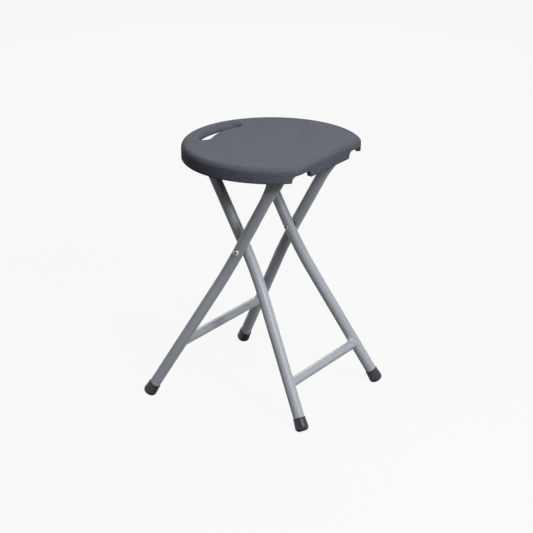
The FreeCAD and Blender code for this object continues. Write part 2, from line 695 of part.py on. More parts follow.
def foot_cap(side, y_top, splay, direction):
    """A tapered cap pushed over a tube end, round underneath and flat where it meets the floor."""
    foot = CAP_FOOT_RADIUS
    rounding = CAP_ROUNDING
    diagonal = rounding * QUARTER_MIDDLE
    bore = TUBE_RADIUS + CAP_BORE_CLEARANCE
    lip = CAP_LIP_ROUNDING

    def at(radius, z):
        return Vector(radius, 0, z)

    profile = Part.Wire([
        line(at(0, 0), at(foot - rounding, 0)),
        arc(at(foot - rounding, 0), at(foot - diagonal, diagonal), at(foot, rounding)),
        line(at(foot, rounding), at(CAP_LIP_RADIUS, CAP_LENGTH - lip)),
        line(at(CAP_LIP_RADIUS, CAP_LENGTH - lip), at(CAP_LIP_RADIUS - lip, CAP_LENGTH)),
        line(at(CAP_LIP_RADIUS - lip, CAP_LENGTH), at(bore, CAP_LENGTH)),
        line(at(bore, CAP_LENGTH), at(bore, CAP_BASE)),
        line(at(bore, CAP_BASE), at(0, CAP_BASE)),
        line(at(0, CAP_BASE), at(0, 0)),
    ])
    cap = Part.Face(profile).revolve(ORIGIN, Z_AXIS, 360)
    upward = foot_direction(side, splay) * -1
    cap.Placement = FreeCAD.Placement(foot_end(side, y_top, splay), FreeCAD.Rotation(Z_AXIS, upward))
    cap = lean(cap, direction)
    reach = SEAT_RADIUS * 2
    floor = box(Vector(-reach, -reach, -CAP_LENGTH), Vector(reach, reach, 0))
    return cap.cut(floor)


def build():
    nodes = {
        "seat_shell": seat_shell(),
        "hinge_washers": hinge_washers(),
        "hinge_screws": hinge_screws(),
        "bar_catch": bar_catch(),
        "catch_screws": catch_screws(),
        "inner_frame_tube": inner_frame_tube(),
        "outer_crossbar": crossbar(OUTER_LEG_Y, OUTER_SPLAY, OUTER_CROSSBAR_HEIGHT, 1),
        "inner_crossbar": crossbar(INNER_LEG_Y, INNER_SPLAY, INNER_CROSSBAR_HEIGHT, -1),
        "outer_crossbar_welds": crossbar_welds(OUTER_LEG_Y, OUTER_SPLAY, OUTER_CROSSBAR_HEIGHT, 1),
        "inner_crossbar_welds": crossbar_welds(INNER_LEG_Y, INNER_SPLAY, INNER_CROSSBAR_HEIGHT, -1),
    }
    for name, side in SIDES.items():
        nodes["hinge_bracket_" + name] = hinge_bracket(side)
        nodes["hinge_pin_" + name] = hinge_pin(side)
        nodes["outer_leg_" + name] = outer_leg(side)
        nodes["pivot_rivet_" + name] = pivot_rivet(side)
        nodes["pivot_spacer_" + name] = pivot_spacer(side)
        nodes["outer_foot_" + name] = foot_cap(side, OUTER_LEG_Y, OUTER_SPLAY, 1)
        nodes["inner_foot_" + name] = foot_cap(side, INNER_LEG_Y, INNER_SPLAY, -1)
    return nodes


os.makedirs("parts", exist_ok=True)
for node, shape in build().items():
    shape.exportStep("parts/" + node + ".step")
    print(node, "valid:", shape.isValid(), "solids:", len(shape.Solids), "mm3:", round(shape.Volume))
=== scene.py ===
# %% [markdown]
# # Dressing a folding stool
# The stool is a round moulded seat on two pairs of steel tube legs that cross like scissors. The packed
# model already holds every piece at its real size and knows how the pieces move. This lesson gives each
# piece a finer mesh and a finish, and leaves the sizes alone.

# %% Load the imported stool
import json
import math

import bmesh
import bpy
from mathutils import Matrix, Vector
from mathutils.geometry import delaunay_2d_cdt
from mathutils.kdtree import KDTree


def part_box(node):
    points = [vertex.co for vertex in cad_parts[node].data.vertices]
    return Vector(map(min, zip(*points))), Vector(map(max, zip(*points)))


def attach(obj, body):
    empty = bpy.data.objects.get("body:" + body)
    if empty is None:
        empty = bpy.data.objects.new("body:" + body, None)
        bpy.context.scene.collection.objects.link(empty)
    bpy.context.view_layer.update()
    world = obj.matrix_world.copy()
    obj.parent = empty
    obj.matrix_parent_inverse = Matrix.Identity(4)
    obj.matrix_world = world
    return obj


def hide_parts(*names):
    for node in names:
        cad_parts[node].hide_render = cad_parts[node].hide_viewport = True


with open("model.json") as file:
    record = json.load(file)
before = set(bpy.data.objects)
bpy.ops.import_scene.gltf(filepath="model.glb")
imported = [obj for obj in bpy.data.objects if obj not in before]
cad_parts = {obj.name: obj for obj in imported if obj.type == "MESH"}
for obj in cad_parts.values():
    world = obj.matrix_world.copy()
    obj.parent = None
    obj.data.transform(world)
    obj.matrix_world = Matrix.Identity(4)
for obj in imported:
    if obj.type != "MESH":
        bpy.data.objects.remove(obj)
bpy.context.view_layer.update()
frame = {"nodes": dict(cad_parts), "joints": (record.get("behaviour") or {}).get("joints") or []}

MM = 0.001
Z_UP = Vector((0, 0, 1))
SIDES = {"left": 1, "right": -1}

# %% [markdown]
# ## Where the frame turns
# A scissor frame is drawn most easily standing upright, with the crossing pivot at the origin, and leaned
# over afterwards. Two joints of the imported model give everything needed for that: the crossing pivot, and
# the hinge under the flat side of the seat. The line between them is the slope of the legs.

# %% Pivot, hinge and slope
joint_at = {joint["name"]: Vector(joint["pos_m"]) for joint in frame["joints"]}
PIVOT = joint_at["scissor_fold"]
HINGE = joint_at["seat_fold"]
LEG_TILT = math.atan2(HINGE.x - PIVOT.x, HINGE.z - PIVOT.z)
HINGE_ALONG = (HINGE - PIVOT).length
FEET_BACK, FEET_FRONT = 1, -1


def lean(point, direction):
    """Take a point of the upright frame to its place. The feet go back, to -X, or to the front, to +X."""
    return Matrix.Rotation(direction * LEG_TILT, 3, "Y") @ Vector(point) + PIVOT


print("legs tilt", round(math.degrees(LEG_TILT), 2), "degrees")
print("hinge is", round(HINGE_ALONG / MM, 1), "mm up the leg")

# %% [markdown]
# ## The camera
# The camera stands on the right-hand side, where the flat side of the seat and the near legs both show, and
# looks down a little. From three metres with a long lens the legs hardly taper, which keeps the picture
# calm.

# %% Camera
CAMERA_AZIMUTH = math.radians(33.51)
CAMERA_ELEVATION = math.radians(20.86)
CAMERA_ROLL = math.radians(0.16)
CAMERA_DISTANCE = 3.0
CAMERA_AIM = Vector((-2.4, -0.4, 223.2)) * MM
LENS_MM = 118.02
SENSOR_MM = 36.0

camera_back = Vector((math.sin(CAMERA_AZIMUTH) * math.cos(CAMERA_ELEVATION),
                      -math.cos(CAMERA_AZIMUTH) * math.cos(CAMERA_ELEVATION),
                      math.sin(CAMERA_ELEVATION)))
camera_data = bpy.data.cameras.new("camera")
camera_data.lens = LENS_MM
camera_data.sensor_width = SENSOR_MM
camera = bpy.data.objects.new("camera", camera_data)
camera.location = CAMERA_AIM + camera_back * CAMERA_DISTANCE
camera.rotation_mode = "QUATERNION"
camera.rotation_quaternion = (camera_back.to_track_quat("Z", "Y").to_matrix()
                              @ Matrix.Rotation(CAMERA_ROLL, 3, "Z")).to_quaternion()
bpy.context.scene.collection.objects.link(camera)
bpy.context.scene.camera = camera
print("camera at", [round(value, 3) for value in camera.location])

# %% [markdown]
# ## Finishes
# Every finish is a small node tree on the Principled shader. The helpers below lay out what all of them
# need: textures in the piece's own coordinates, so that they stay put when the stool folds, and a short way
# to add and link nodes. Colours are written in linear light.

# %% Helpers for finishes
def new_finish(name, colour, roughness, metallic=0.0, specular=0.5):
    """A material with a Principled shader, two helpers to add and link nodes, and the texture coordinates."""
    finish = bpy.data.materials.new(name)
    finish.use_nodes = True
    nodes = finish.node_tree.nodes
    shader = nodes["Principled BSDF"]
    shader.inputs["Base Color"].default_value = (*colour, 1)
    shader.inputs["Roughness"].default_value = roughness
    shader.inputs["Metallic"].default_value = metallic
    shader.inputs["Specular IOR Level"].default_value = specular

    def add(kind, settings=None, **links):
        """Add a node, set its values by name, and link outputs of other nodes into its inputs."""
        node = nodes.new(kind)
        for key, value in (settings or {}).items():
            if key in node.inputs:
                node.inputs[key].default_value = value
            else:
                setattr(node, key, value)
        for key, output in links.items():
            finish.node_tree.links.new(output, node.inputs[key])
        return node

    def link(output, socket):
        finish.node_tree.links.new(output, shader.inputs[socket])

    place = add("ShaderNodeTexCoord").outputs["Object"]
    return finish, add, link, place


def two_tone(add, amount, low, high):
    """A colour that runs between two tones as a texture value goes from 0 to 1."""
    ramp = add("ShaderNodeValToRGB", Fac=amount)
    ramp.color_ramp.elements[0].color = (*low, 1)
    ramp.color_ramp.elements[1].color = (*high, 1)
    return ramp


def shaded(colour, factor):
    return tuple(channel * factor for channel in colour)


print("finish helpers ready")

# %% [markdown]
# ### Seat plastic
# The seat is blow-moulded polyethylene in a dark blue-grey. Its mould is etched, so the skin has a pebble
# grain that scatters the light, and hardly any highlight is left. The grain is a bump of shallow hollows
# two and a half millimetres across, roughened by a finer noise. The hollows are painted a touch darker, as
# painted shade in the pits, and a slow cloudiness stands for the uneven pigment that such plastic has. An
# image of the grain would need seams somewhere, and cells that fill space have none.

# %% Seat plastic
SEAT_COLOUR = (0.125, 0.137, 0.165)
SEAT_ROUGHNESS = (0.62, 0.78)
SEAT_SPECULAR = 0.08
GRAIN_PER_METRE, GRAIN_DEPTH, GRAIN_SOFTNESS = 400, 1.6 * MM, 0.6
FUZZ_PER_CELL, FUZZ_SHARE = 1.7, 0.45
GRAIN_SHADE = 0.16
CLOUD_PER_METRE, CLOUD_TONES = 14, (0.93, 1.07)


def seat_plastic():
    finish, add, link, place = new_finish("seat_grain", SEAT_COLOUR, SEAT_ROUGHNESS[1],
                                          specular=SEAT_SPECULAR)
    cells = add("ShaderNodeTexVoronoi", {"feature": "SMOOTH_F1", "Scale": GRAIN_PER_METRE,
                                         "Smoothness": GRAIN_SOFTNESS}, Vector=place)
    fuzz = add("ShaderNodeTexNoise", {"Scale": GRAIN_PER_METRE * FUZZ_PER_CELL, "Detail": 3.0}, Vector=place)
    grain = add("ShaderNodeMix", {"data_type": "FLOAT", "Factor": FUZZ_SHARE},
                A=cells.outputs["Distance"], B=fuzz.outputs["Fac"])
    bump = add("ShaderNodeBump", {"Strength": 1.0, "Distance": GRAIN_DEPTH}, Height=grain.outputs["Result"])
    link(bump.outputs["Normal"], "Normal")
    cloud = add("ShaderNodeTexNoise", {"Scale": CLOUD_PER_METRE, "Detail": 4.0}, Vector=place)
    tone = two_tone(add, cloud.outputs["Fac"], *[shaded(SEAT_COLOUR, factor) for factor in CLOUD_TONES])
    # Painted shade: the grain's hollows are darkened in the base colour.
    grain_pit_shade = add("ShaderNodeMix", {"data_type": "RGBA", "blend_type": "MULTIPLY", "Factor": GRAIN_SHADE},
                A=tone.outputs["Color"], B=cells.outputs["Distance"])
    link(grain_pit_shade.outputs["Result"], "Base Color")
    sheen = add("ShaderNodeMapRange", {"To Min": SEAT_ROUGHNESS[0], "To Max": SEAT_ROUGHNESS[1]},
                Value=fuzz.outputs["Fac"])
    link(sheen.outputs["Result"], "Roughness")
    return finish


SEAT_PLASTIC = seat_plastic()
print("made", SEAT_PLASTIC.name)

# %% [markdown]
# ### Frame powder coat
# The tubes are powder-coated steel in a satin silver-grey. Powder coat flows as it cures, which leaves a
# very shallow orange-peel ripple, and its fine flake makes the colour uneven at the scale of a grain of
# dust. Handling leaves some places a little duller than others. A noise of its own scale stands for each of
# the three, so that each can be set by itself.

# %% Frame powder coat
FRAME_COLOUR = (0.485, 0.515, 0.58)
FRAME_ROUGHNESS = (0.29, 0.35)
PEEL_PER_METRE, PEEL_DEPTH, PEEL_STRENGTH = 420, 0.2 * MM, 0.05
FLAKE_PER_METRE, FLAKE_TONES = 2600, (0.95, 1.05)
HAZE_PER_METRE = 35


def frame_powder_coat():
    finish, add, link, place = new_finish("frame_powder_coat", FRAME_COLOUR, FRAME_ROUGHNESS[1])
    peel = add("ShaderNodeTexNoise", {"Scale": PEEL_PER_METRE, "Detail": 2.0}, Vector=place)
    bump = add("ShaderNodeBump", {"Strength": PEEL_STRENGTH, "Distance": PEEL_DEPTH},
               Height=peel.outputs["Fac"])
    link(bump.outputs["Normal"], "Normal")
    flake = add("ShaderNodeTexNoise", {"Scale": FLAKE_PER_METRE, "Detail": 2.0}, Vector=place)
    tone = two_tone(add, flake.outputs["Fac"], *[shaded(FRAME_COLOUR, factor) for factor in FLAKE_TONES])
    link(tone.outputs["Color"], "Base Color")
    haze = add("ShaderNodeTexNoise", {"Scale": HAZE_PER_METRE, "Detail": 3.0}, Vector=place)
    satin = add("ShaderNodeMapRange", {"To Min": FRAME_ROUGHNESS[0], "To Max": FRAME_ROUGHNESS[1]},
                Value=haze.outputs["Fac"])
    link(satin.outputs["Result"], "Roughness")
    return finish


FRAME_COAT = frame_powder_coat()
print("made", FRAME_COAT.name)

# %% [markdown]
# ### Small plastic pieces
# The foot caps, the spacers and the catch are dark plastic with a fine moulded skin and the smears that
# hands and floors leave. A cap's sole is scuffed, so it has lost its shine. The sole is told from the side
# wall by the direction that its surface faces.

# %% Small plastic pieces
CAP_COLOUR, CAP_ROUGHNESS = (0.028, 0.032, 0.042), 0.34
CATCH_COLOUR, CATCH_ROUGHNESS = (0.05, 0.053, 0.06), 0.5
SPACER_COLOUR, SPACER_ROUGHNESS = (0.06, 0.06, 0.062), 0.45
FINE_SKIN_PER_METRE, COARSE_SKIN_PER_METRE = 1500, 900
SKIN_STRENGTH, SKIN_DEPTH = 0.3, 0.1 * MM
SMEARS_PER_METRE, SMEAR_TONES, SMEAR_ROUGHNESS = 90, (0.85, 1.15), (-0.06, 0.08)
SOLE_SHINE, WALL_SHINE = 0.05, 0.5
SOLE_FACING = -0.4


def small_plastic(name, colour, roughness, skin_per_metre, dull_sole=False):
    finish, add, link, place = new_finish(name, colour, roughness)
    pores = add("ShaderNodeTexNoise", {"Scale": skin_per_metre, "Detail": 3.0}, Vector=place)
    bump = add("ShaderNodeBump", {"Strength": SKIN_STRENGTH, "Distance": SKIN_DEPTH},
               Height=pores.outputs["Fac"])
    link(bump.outputs["Normal"], "Normal")
    smear = add("ShaderNodeTexNoise", {"Scale": SMEARS_PER_METRE, "Detail": 4.0}, Vector=place)
    tone = two_tone(add, smear.outputs["Fac"], *[shaded(colour, factor) for factor in SMEAR_TONES])
    link(tone.outputs["Color"], "Base Color")
    dull = add("ShaderNodeMapRange", {"To Min": roughness + SMEAR_ROUGHNESS[0],
                                      "To Max": roughness + SMEAR_ROUGHNESS[1]}, Value=smear.outputs["Fac"])
    link(dull.outputs["Result"], "Roughness")
    if dull_sole:
        facing = add("ShaderNodeSeparateXYZ", Vector=add("ShaderNodeTexCoord").outputs["Normal"])
        shine = add("ShaderNodeMapRange", {"From Min": SOLE_FACING, "From Max": 0.0, "To Min": SOLE_SHINE,
                                           "To Max": WALL_SHINE}, Value=facing.outputs["Z"])
        link(shine.outputs["Result"], "Specular IOR Level")
    return finish


CAP_PLASTIC = small_plastic("cap_plastic", CAP_COLOUR, CAP_ROUGHNESS, FINE_SKIN_PER_METRE, dull_sole=True)
CATCH_PLASTIC = small_plastic("catch_moulding", CATCH_COLOUR, CATCH_ROUGHNESS, COARSE_SKIN_PER_METRE)
SPACER_PLASTIC = small_plastic("spacer_moulding", SPACER_COLOUR, SPACER_ROUGHNESS, FINE_SKIN_PER_METRE)
print("made", [finish.name for finish in (CAP_PLASTIC, CATCH_PLASTIC, SPACER_PLASTIC)])

# %% [markdown]
# ### Bare metal
# The rivets are formed steel. The dish in a rivet's head is painted darker than the rim, as painted shade
# for the hollow. Both rivets lie on one axis, so the distance from that axis tells the dish from the rim. The
# hinge pins are the same steel without a dish. The hidden brackets, washers and screws are zinc plated, which
# looks mottled.

# %% Bare metal
RIVET_COLOUR, RIVET_ROUGHNESS = (0.46, 0.46, 0.49), 0.34
ZINC_COLOUR, ZINC_ROUGHNESS = (0.52, 0.53, 0.55), 0.38
STEEL_MARKS_PER_METRE, ZINC_MARKS_PER_METRE = 2500, 1200
MARK_DEPTH, MARK_STRENGTH, MARK_ROUGHNESS = 0.05 * MM, 0.15, (-0.07, 0.1)
MOTTLES_PER_MARK, MOTTLE_TONES = 0.25, (0.88, 1.08)
# Painted shade in the rivet's dish: full up to the first radius from the axis, gone by the second.
DISH_SHADE_FULL_TO, DISH_SHADE_GONE_AT = 2.2 * MM, 3.3 * MM
DISH_SHADE_TONE = 0.22


def marked_metal(name, colour, roughness, marks_per_metre):
    """Metal with fine working marks, and the nodes for the rest of its finish."""
    finish, add, link, place = new_finish(name, colour, roughness, metallic=1.0)
    marks = add("ShaderNodeTexNoise", {"Scale": marks_per_metre, "Detail": 4.0}, Vector=place)
    bump = add("ShaderNodeBump", {"Strength": MARK_STRENGTH, "Distance": MARK_DEPTH},
               Height=marks.outputs["Fac"])
    link(bump.outputs["Normal"], "Normal")
    polish = add("ShaderNodeMapRange", {"To Min": roughness + MARK_ROUGHNESS[0],
                                        "To Max": roughness + MARK_ROUGHNESS[1]}, Value=marks.outputs["Fac"])
    link(polish.outputs["Result"], "Roughness")
    return finish, add, link, place


def mottled_metal(name, colour, roughness, marks_per_metre):
    finish, add, link, place = marked_metal(name, colour, roughness, marks_per_metre)
    mottle = add("ShaderNodeTexVoronoi", {"Scale": marks_per_metre * MOTTLES_PER_MARK}, Vector=place)
    tone = two_tone(add, mottle.outputs["Distance"], *[shaded(colour, factor) for factor in MOTTLE_TONES])
    link(tone.outputs["Color"], "Base Color")
    return finish


def steel_with_painted_dish_shade():
    finish, add, link, place = marked_metal("steel_with_painted_dish_shade", RIVET_COLOUR, RIVET_ROUGHNESS,
                                            STEEL_MARKS_PER_METRE)
    # Painted shade: the base colour darkens towards the axis, in the dish, where the hollow is shaded.
    across = add("ShaderNodeMapping", {"Location": (-PIVOT.x, 0, -PIVOT.z), "Scale": (1, 0, 1)}, Vector=place)
    from_axis = add("ShaderNodeVectorMath", {"operation": "LENGTH"}, Vector=across.outputs["Vector"])
    rim = add("ShaderNodeMapRange", {"From Min": DISH_SHADE_FULL_TO, "From Max": DISH_SHADE_GONE_AT},
              Value=from_axis.outputs["Value"])
    tone = two_tone(add, rim.outputs["Result"], shaded(RIVET_COLOUR, DISH_SHADE_TONE), RIVET_COLOUR)
    link(tone.outputs["Color"], "Base Color")
    return finish


RIVET_STEEL = steel_with_painted_dish_shade()
PIN_STEEL = mottled_metal("pin_steel", RIVET_COLOUR, RIVET_ROUGHNESS, STEEL_MARKS_PER_METRE)
ZINC_PLATE = mottled_metal("zinc_plate", ZINC_COLOUR, ZINC_ROUGHNESS, ZINC_MARKS_PER_METRE)
print("made", [finish.name for finish in (RIVET_STEEL, PIN_STEEL, ZINC_PLATE)])

# %% [markdown]
# ## From rings to pieces
# Nearly everything on this stool is either turned or drawn, so it can be skinned from rings of points: a
# tube is a row of circles, a cap is one profile turned round an axis, and even the seat's rim is a row of
# closed loops. One function skins a row of rings with quads, and another turns the result into a piece that
# rides its body.

# %% Skinning and placing
SHARP_ANGLE = math.radians(40)


def skin(mesh, rings, cap_start=True, cap_end=True):
    """Skin rings of equally many points with quads, and close both ends. Returns the rows of vertices."""
    rows = [[mesh.verts.new(point) for point in ring] for ring in rings]
    for lower, upper in zip(rows, rows[1:]):
        for index in range(len(lower)):
            after = (index + 1) % len(lower)
            mesh.faces.new((lower[index], lower[after], upper[after], upper[index]))
    if cap_start:
        mesh.faces.new(rows[0])
    if cap_end:
        mesh.faces.new(rows[-1])
    return rows


def place_piece(name, mesh, finish, body, slot, *nodes):
    """Make a piece of a finished bmesh. It rides a body and stands for the named nodes."""
    bmesh.ops.recalc_face_normals(mesh, faces=mesh.faces)
    data = bpy.data.meshes.new(name)
    mesh.to_mesh(data)
    mesh.free()
    data.shade_smooth()
    data.set_sharp_from_angle(angle=SHARP_ANGLE)
    data.materials.append(finish)
    piece = bpy.data.objects.new(name, data)
    bpy.context.scene.collection.objects.link(piece)
    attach(piece, body)
    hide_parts(*nodes)
    print(name, len(data.polygons), "faces")
    return piece


def spread(start, end, count):
    """Evenly spaced values from start to end, both included."""
    return [start + (end - start) * step / (count - 1) for step in range(count)]


QUARTER_TURN = spread(0, math.pi / 2, 7)

# %% [markdown]
# ## The seat's outline
# Seen from above, the seat is a circle with one side cut flat and the two corners rounded. Every loop of
# the rim is this outline drawn a little further in, so the outline is a function of the distance along the
# edge. It starts at the middle of the flat side, and the second half mirrors the first.

# %% Seat outline
seat_low, seat_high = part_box("seat_shell")
SEAT_TOP = seat_high.z
SEAT_RADIUS = (seat_high.y - seat_low.y) / 2
SEAT_MIDDLE_X = seat_low.x + SEAT_RADIUS
RIM_BOTTOM = seat_low.z
FLAT_OFFSET = seat_high.x - SEAT_MIDDLE_X
CORNER_RADIUS = 32 * MM

corner_x = FLAT_OFFSET - CORNER_RADIUS
FLAT_HALF = math.sqrt((SEAT_RADIUS - CORNER_RADIUS) ** 2 - corner_x ** 2)
CORNER_TURN = math.atan2(FLAT_HALF, corner_x)
ROUND_START = FLAT_HALF + CORNER_RADIUS * CORNER_TURN
EDGE_HALF = ROUND_START + SEAT_RADIUS * (math.pi - CORNER_TURN)


def rim_point(along, inset, z):
    """A point on the seat's outline, drawn in by inset, at a distance along the edge."""
    side = 1 if along >= 0 else -1
    along = abs(along)
    if along > EDGE_HALF:
        along = 2 * EDGE_HALF - along
        side = -side
    if along <= FLAT_HALF:
        x, y = FLAT_OFFSET - inset, along
    elif along <= ROUND_START:
        turn = (along - FLAT_HALF) / CORNER_RADIUS
        x = corner_x + (CORNER_RADIUS - inset) * math.cos(turn)
        y = FLAT_HALF + (CORNER_RADIUS - inset) * math.sin(turn)
    else:
        turn = CORNER_TURN + (along - ROUND_START) / SEAT_RADIUS
        x = (SEAT_RADIUS - inset) * math.cos(turn)
        y = (SEAT_RADIUS - inset) * math.sin(turn)
    return Vector((SEAT_MIDDLE_X + x, side * y, z))


print("seat", round(2 * SEAT_RADIUS / MM, 1), "mm across, edge", round(2 * EDGE_HALF / MM), "mm round")

# %% [markdown]
# ## The rim's lower edge
# The rim isn't the same depth all round. Two notches in the flat side let the folded legs lie flush, and
# the rim rises over the grip so that fingers can close round it. So the lower edge is a line of its own:
# distance along the edge against height. Round corners are quarter circles of that line. The notch walls
# have a little draft, as in any mould, which also keeps neighbouring columns of the mesh apart.

# %% Lower edge of the rim
NOTCH_FROM, NOTCH_TO = 60 * MM, 106 * MM
NOTCH_CEILING = SEAT_TOP - 15 * MM
NOTCH_INNER_ROUND, NOTCH_OUTER_ROUND = 8.6 * MM, 7.8 * MM
MOUTH_INNER_ROUND, MOUTH_OUTER_ROUND = 3.5 * MM, 2 * MM
NOTCH_DRAFT = 0.2 * MM
GRIP_CEILING = SEAT_TOP - 17.5 * MM
GRIP_HALF, GRIP_RUN_OUT = 46 * MM, 20 * MM
COLUMN_STEP = 5 * MM


def along_flat(y):
    """Distance along the edge of a place beside the flat side, given across the seat."""
    if y <= FLAT_HALF:
        return y
    return FLAT_HALF + CORNER_RADIUS * math.asin((y - FLAT_HALF) / CORNER_RADIUS)


def along_back(y):
    """Distance along the edge of a place on the round side, near the grip."""
    return EDGE_HALF - SEAT_RADIUS * math.asin(y / SEAT_RADIUS)


def quarter(y, z, step_y, step_z):
    """A quarter round in the corner at (y, z), from its end above or below to its end beside it."""
    return [(y + step_y * (1 - math.cos(turn)), z + step_z * (1 - math.sin(turn))) for turn in QUARTER_TURN]


def notch_line():
    line = quarter(NOTCH_FROM, RIM_BOTTOM, -MOUTH_INNER_ROUND, MOUTH_INNER_ROUND)[:0:-1]
    line += quarter(NOTCH_FROM, NOTCH_CEILING, NOTCH_INNER_ROUND, -NOTCH_INNER_ROUND)
    ceiling = spread(NOTCH_FROM + NOTCH_INNER_ROUND, NOTCH_TO - NOTCH_OUTER_ROUND, 9)[1:-1]
    line += [(y, NOTCH_CEILING) for y in ceiling]
    line += quarter(NOTCH_TO, NOTCH_CEILING, -NOTCH_OUTER_ROUND, -NOTCH_OUTER_ROUND)[::-1]
    line += quarter(NOTCH_TO + NOTCH_DRAFT, RIM_BOTTOM, MOUTH_OUTER_ROUND, MOUTH_OUTER_ROUND)
    return [(along_flat(y), z) for y, z in line]


def grip_line():
    """The S at the end of the grip, from the rim's full depth up to the grip's ceiling."""
    rise = GRIP_CEILING - RIM_BOTTOM
    radius = (GRIP_RUN_OUT ** 2 + rise ** 2) / (4 * rise)
    turns = spread(0, 2 * math.atan2(rise, GRIP_RUN_OUT), 7)
    outer = GRIP_HALF + GRIP_RUN_OUT
    line = [(outer - radius * math.sin(t), RIM_BOTTOM + radius * (1 - math.cos(t))) for t in turns]
    line += [(GRIP_HALF + radius * math.sin(t), GRIP_CEILING - radius * (1 - math.cos(t)))
             for t in turns[-2::-1]]
    return [(along_back(y), z) for y, z in line]


def level_line(start, end, z):
    """Columns between two places on the edge at one height, without the end places themselves."""
    count = max(3, int((end - start) / COLUMN_STEP) + 2)
    return [(along, z) for along in spread(start, end, count)[1:-1]]


def lower_edge():
    """The whole lower edge, from one end of the grip's middle round to the other."""
    notch, grip = notch_line(), grip_line()
    half = level_line(0, notch[0][0], RIM_BOTTOM) + notch
    half += level_line(notch[-1][0], grip[0][0], RIM_BOTTOM) + grip
    half += level_line(grip[-1][0], EDGE_HALF, GRIP_CEILING)
    other = [(-along, z) for along, z in half[::-1]]
    return other + [(0.0, RIM_BOTTOM)] + half + [(EDGE_HALF, GRIP_CEILING)]


LOWER_EDGE = lower_edge()
print("rim has", len(LOWER_EDGE), "columns")

# %% [markdown]
# ## Loops of the rim
# The rim can now be skinned from loops: over the rounded top edge, down the wall, round the lower edge, up
# the inside and into the panel. The lower edge is rounded square to its own line, so the rounding follows
# the notches as well. To do that, each column knows which way is up into the material from its point of the
# line.

# %% Rim loops
TOP_EDGE_ROUND = 9 * MM
RIM_WALL = 8.5 * MM
PANEL_BOTTOM = SEAT_TOP - 13 * MM
RIM_OUTER_ROUND = 1.8 * MM
RIM_INNER_ROUND = 3 * MM
RECESS_ROUND = 3 * MM
NOTCH_INNER_EDGE = 0.9 * MM
NOTCH_EASE = 18 * MM


def into_material(index):
    """Unit step along the edge and upwards, square to the lower edge at one of its columns."""
    before = LOWER_EDGE[index - 1]
    after = LOWER_EDGE[(index + 1) % len(LOWER_EDGE)]
    run = (after[0] - before[0]) % (2 * EDGE_HALF)
    step = Vector((before[1] - after[1], run))
    return step.normalized()


def near_notch(along):
    """1 in a notch and 0 away from it, with a soft change between."""
    start, end = along_flat(NOTCH_FROM), along_flat(NOTCH_TO)
    away = max(start - abs(along), abs(along) - end, 0.0) / NOTCH_EASE
    share = max(0.0, 1.0 - away)
    return share * share * (3 - 2 * share)


def rim_loops():
    steps = [into_material(index) for index in range(len(LOWER_EDGE))]
    ease = [near_notch(along) for along, z in LOWER_EDGE]
    inner_round = [RIM_INNER_ROUND + (NOTCH_INNER_EDGE - RIM_INNER_ROUND) * share for share in ease]
    recess_round = [RECESS_ROUND + (NOTCH_INNER_EDGE - RECESS_ROUND) * share for share in ease]

    def straight(inset, z):
        return [rim_point(along, inset, z) for along, low in LOWER_EDGE]

    def lifted(inset_of, lift_of):
        loop = []
        for index, (along, low) in enumerate(LOWER_EDGE):
            lift = lift_of(index)
            loop.append(rim_point(along + steps[index].x * lift, inset_of(index),
                                  low + steps[index].y * lift))
        return loop

    def between(first, second, share):
        return [a.lerp(b, share) for a, b in zip(first, second)]

    loops = [straight(TOP_EDGE_ROUND * (1 - math.sin(t)), SEAT_TOP - TOP_EDGE_ROUND * (1 - math.cos(t)))
             for t in spread(0, math.pi / 2, 11)]
    outer = [lifted(lambda i, t=t: RIM_OUTER_ROUND * (1 - math.cos(t)),
                    lambda i, t=t: RIM_OUTER_ROUND * (1 - math.sin(t))) for t in QUARTER_TURN]
    loops += [between(loops[-1], outer[0], share) for share in (0.25, 0.5, 0.75)]
    loops += outer
    loops += [lifted(lambda i, t=t: RIM_WALL - inner_round[i] * (1 - math.sin(t)),
                     lambda i, t=t: inner_round[i] * (1 - math.cos(t))) for t in QUARTER_TURN]
    for t in QUARTER_TURN:
        loops.append([rim_point(along, RIM_WALL + recess_round[i] * (1 - math.cos(t)),
                                PANEL_BOTTOM - recess_round[i] * (1 - math.sin(t)))
                      for i, (along, low) in enumerate(LOWER_EDGE)])
    return loops


RIM_LOOPS = rim_loops()
print(len(RIM_LOOPS), "loops round the rim")

# %% [markdown]
# ## Carrying slot
# The carrying slot is an arc with half-round ends. It is a stack of rings that runs from the top face down
# to the panel's underside, rounded at both. The grip beside it is shaped for the hand, so its side of the
# slot is much rounder on top than the panel's side, and the rounding changes smoothly round the ends. A
# boolean cut would leave a sharp edge to bevel afterwards, and rings have their rounding from the start.

# %% Slot rings
SLOT_INNER, SLOT_OUTER = 105.4 * MM, 127.4 * MM
SLOT_HALF_ANGLE = math.radians(22)
SLOT_TOP_ROUND, SLOT_UNDER_ROUND = 4.5 * MM, 6 * MM
GRIP_TOP_ROUND, GRIP_UNDER_ROUND = 9.3 * MM, 3.6 * MM


def slot_outline():
    """Points round the slot, each with the way out of the slot and its share in the grip, 0 to 1."""
    first, last = math.pi - SLOT_HALF_ANGLE, math.pi + SLOT_HALF_ANGLE
    middle, half = (SLOT_INNER + SLOT_OUTER) / 2, (SLOT_OUTER - SLOT_INNER) / 2
    outline = []

    def add(radius, angle, reach, facing, grip):
        centre = Vector((SEAT_MIDDLE_X + radius * math.cos(angle), radius * math.sin(angle), 0))
        way = Vector((math.cos(facing), math.sin(facing), 0))
        outline.append((centre + way * reach, way, grip))

    for angle in spread(first, last, 34):
        add(SLOT_OUTER, angle, 0, angle, 1.0)
    for turn in spread(0, math.pi, 18)[1:-1]:
        add(middle, last, half, last + turn, 1 - math.sin(turn / 2) ** 4)
    for angle in spread(last, first, 34):
        add(SLOT_INNER, angle, 0, angle + math.pi, 0.0)
    for turn in spread(0, math.pi, 18)[1:-1]:
        add(middle, first, half, first + math.pi + turn, 1 - math.cos(turn / 2) ** 4)
    return outline


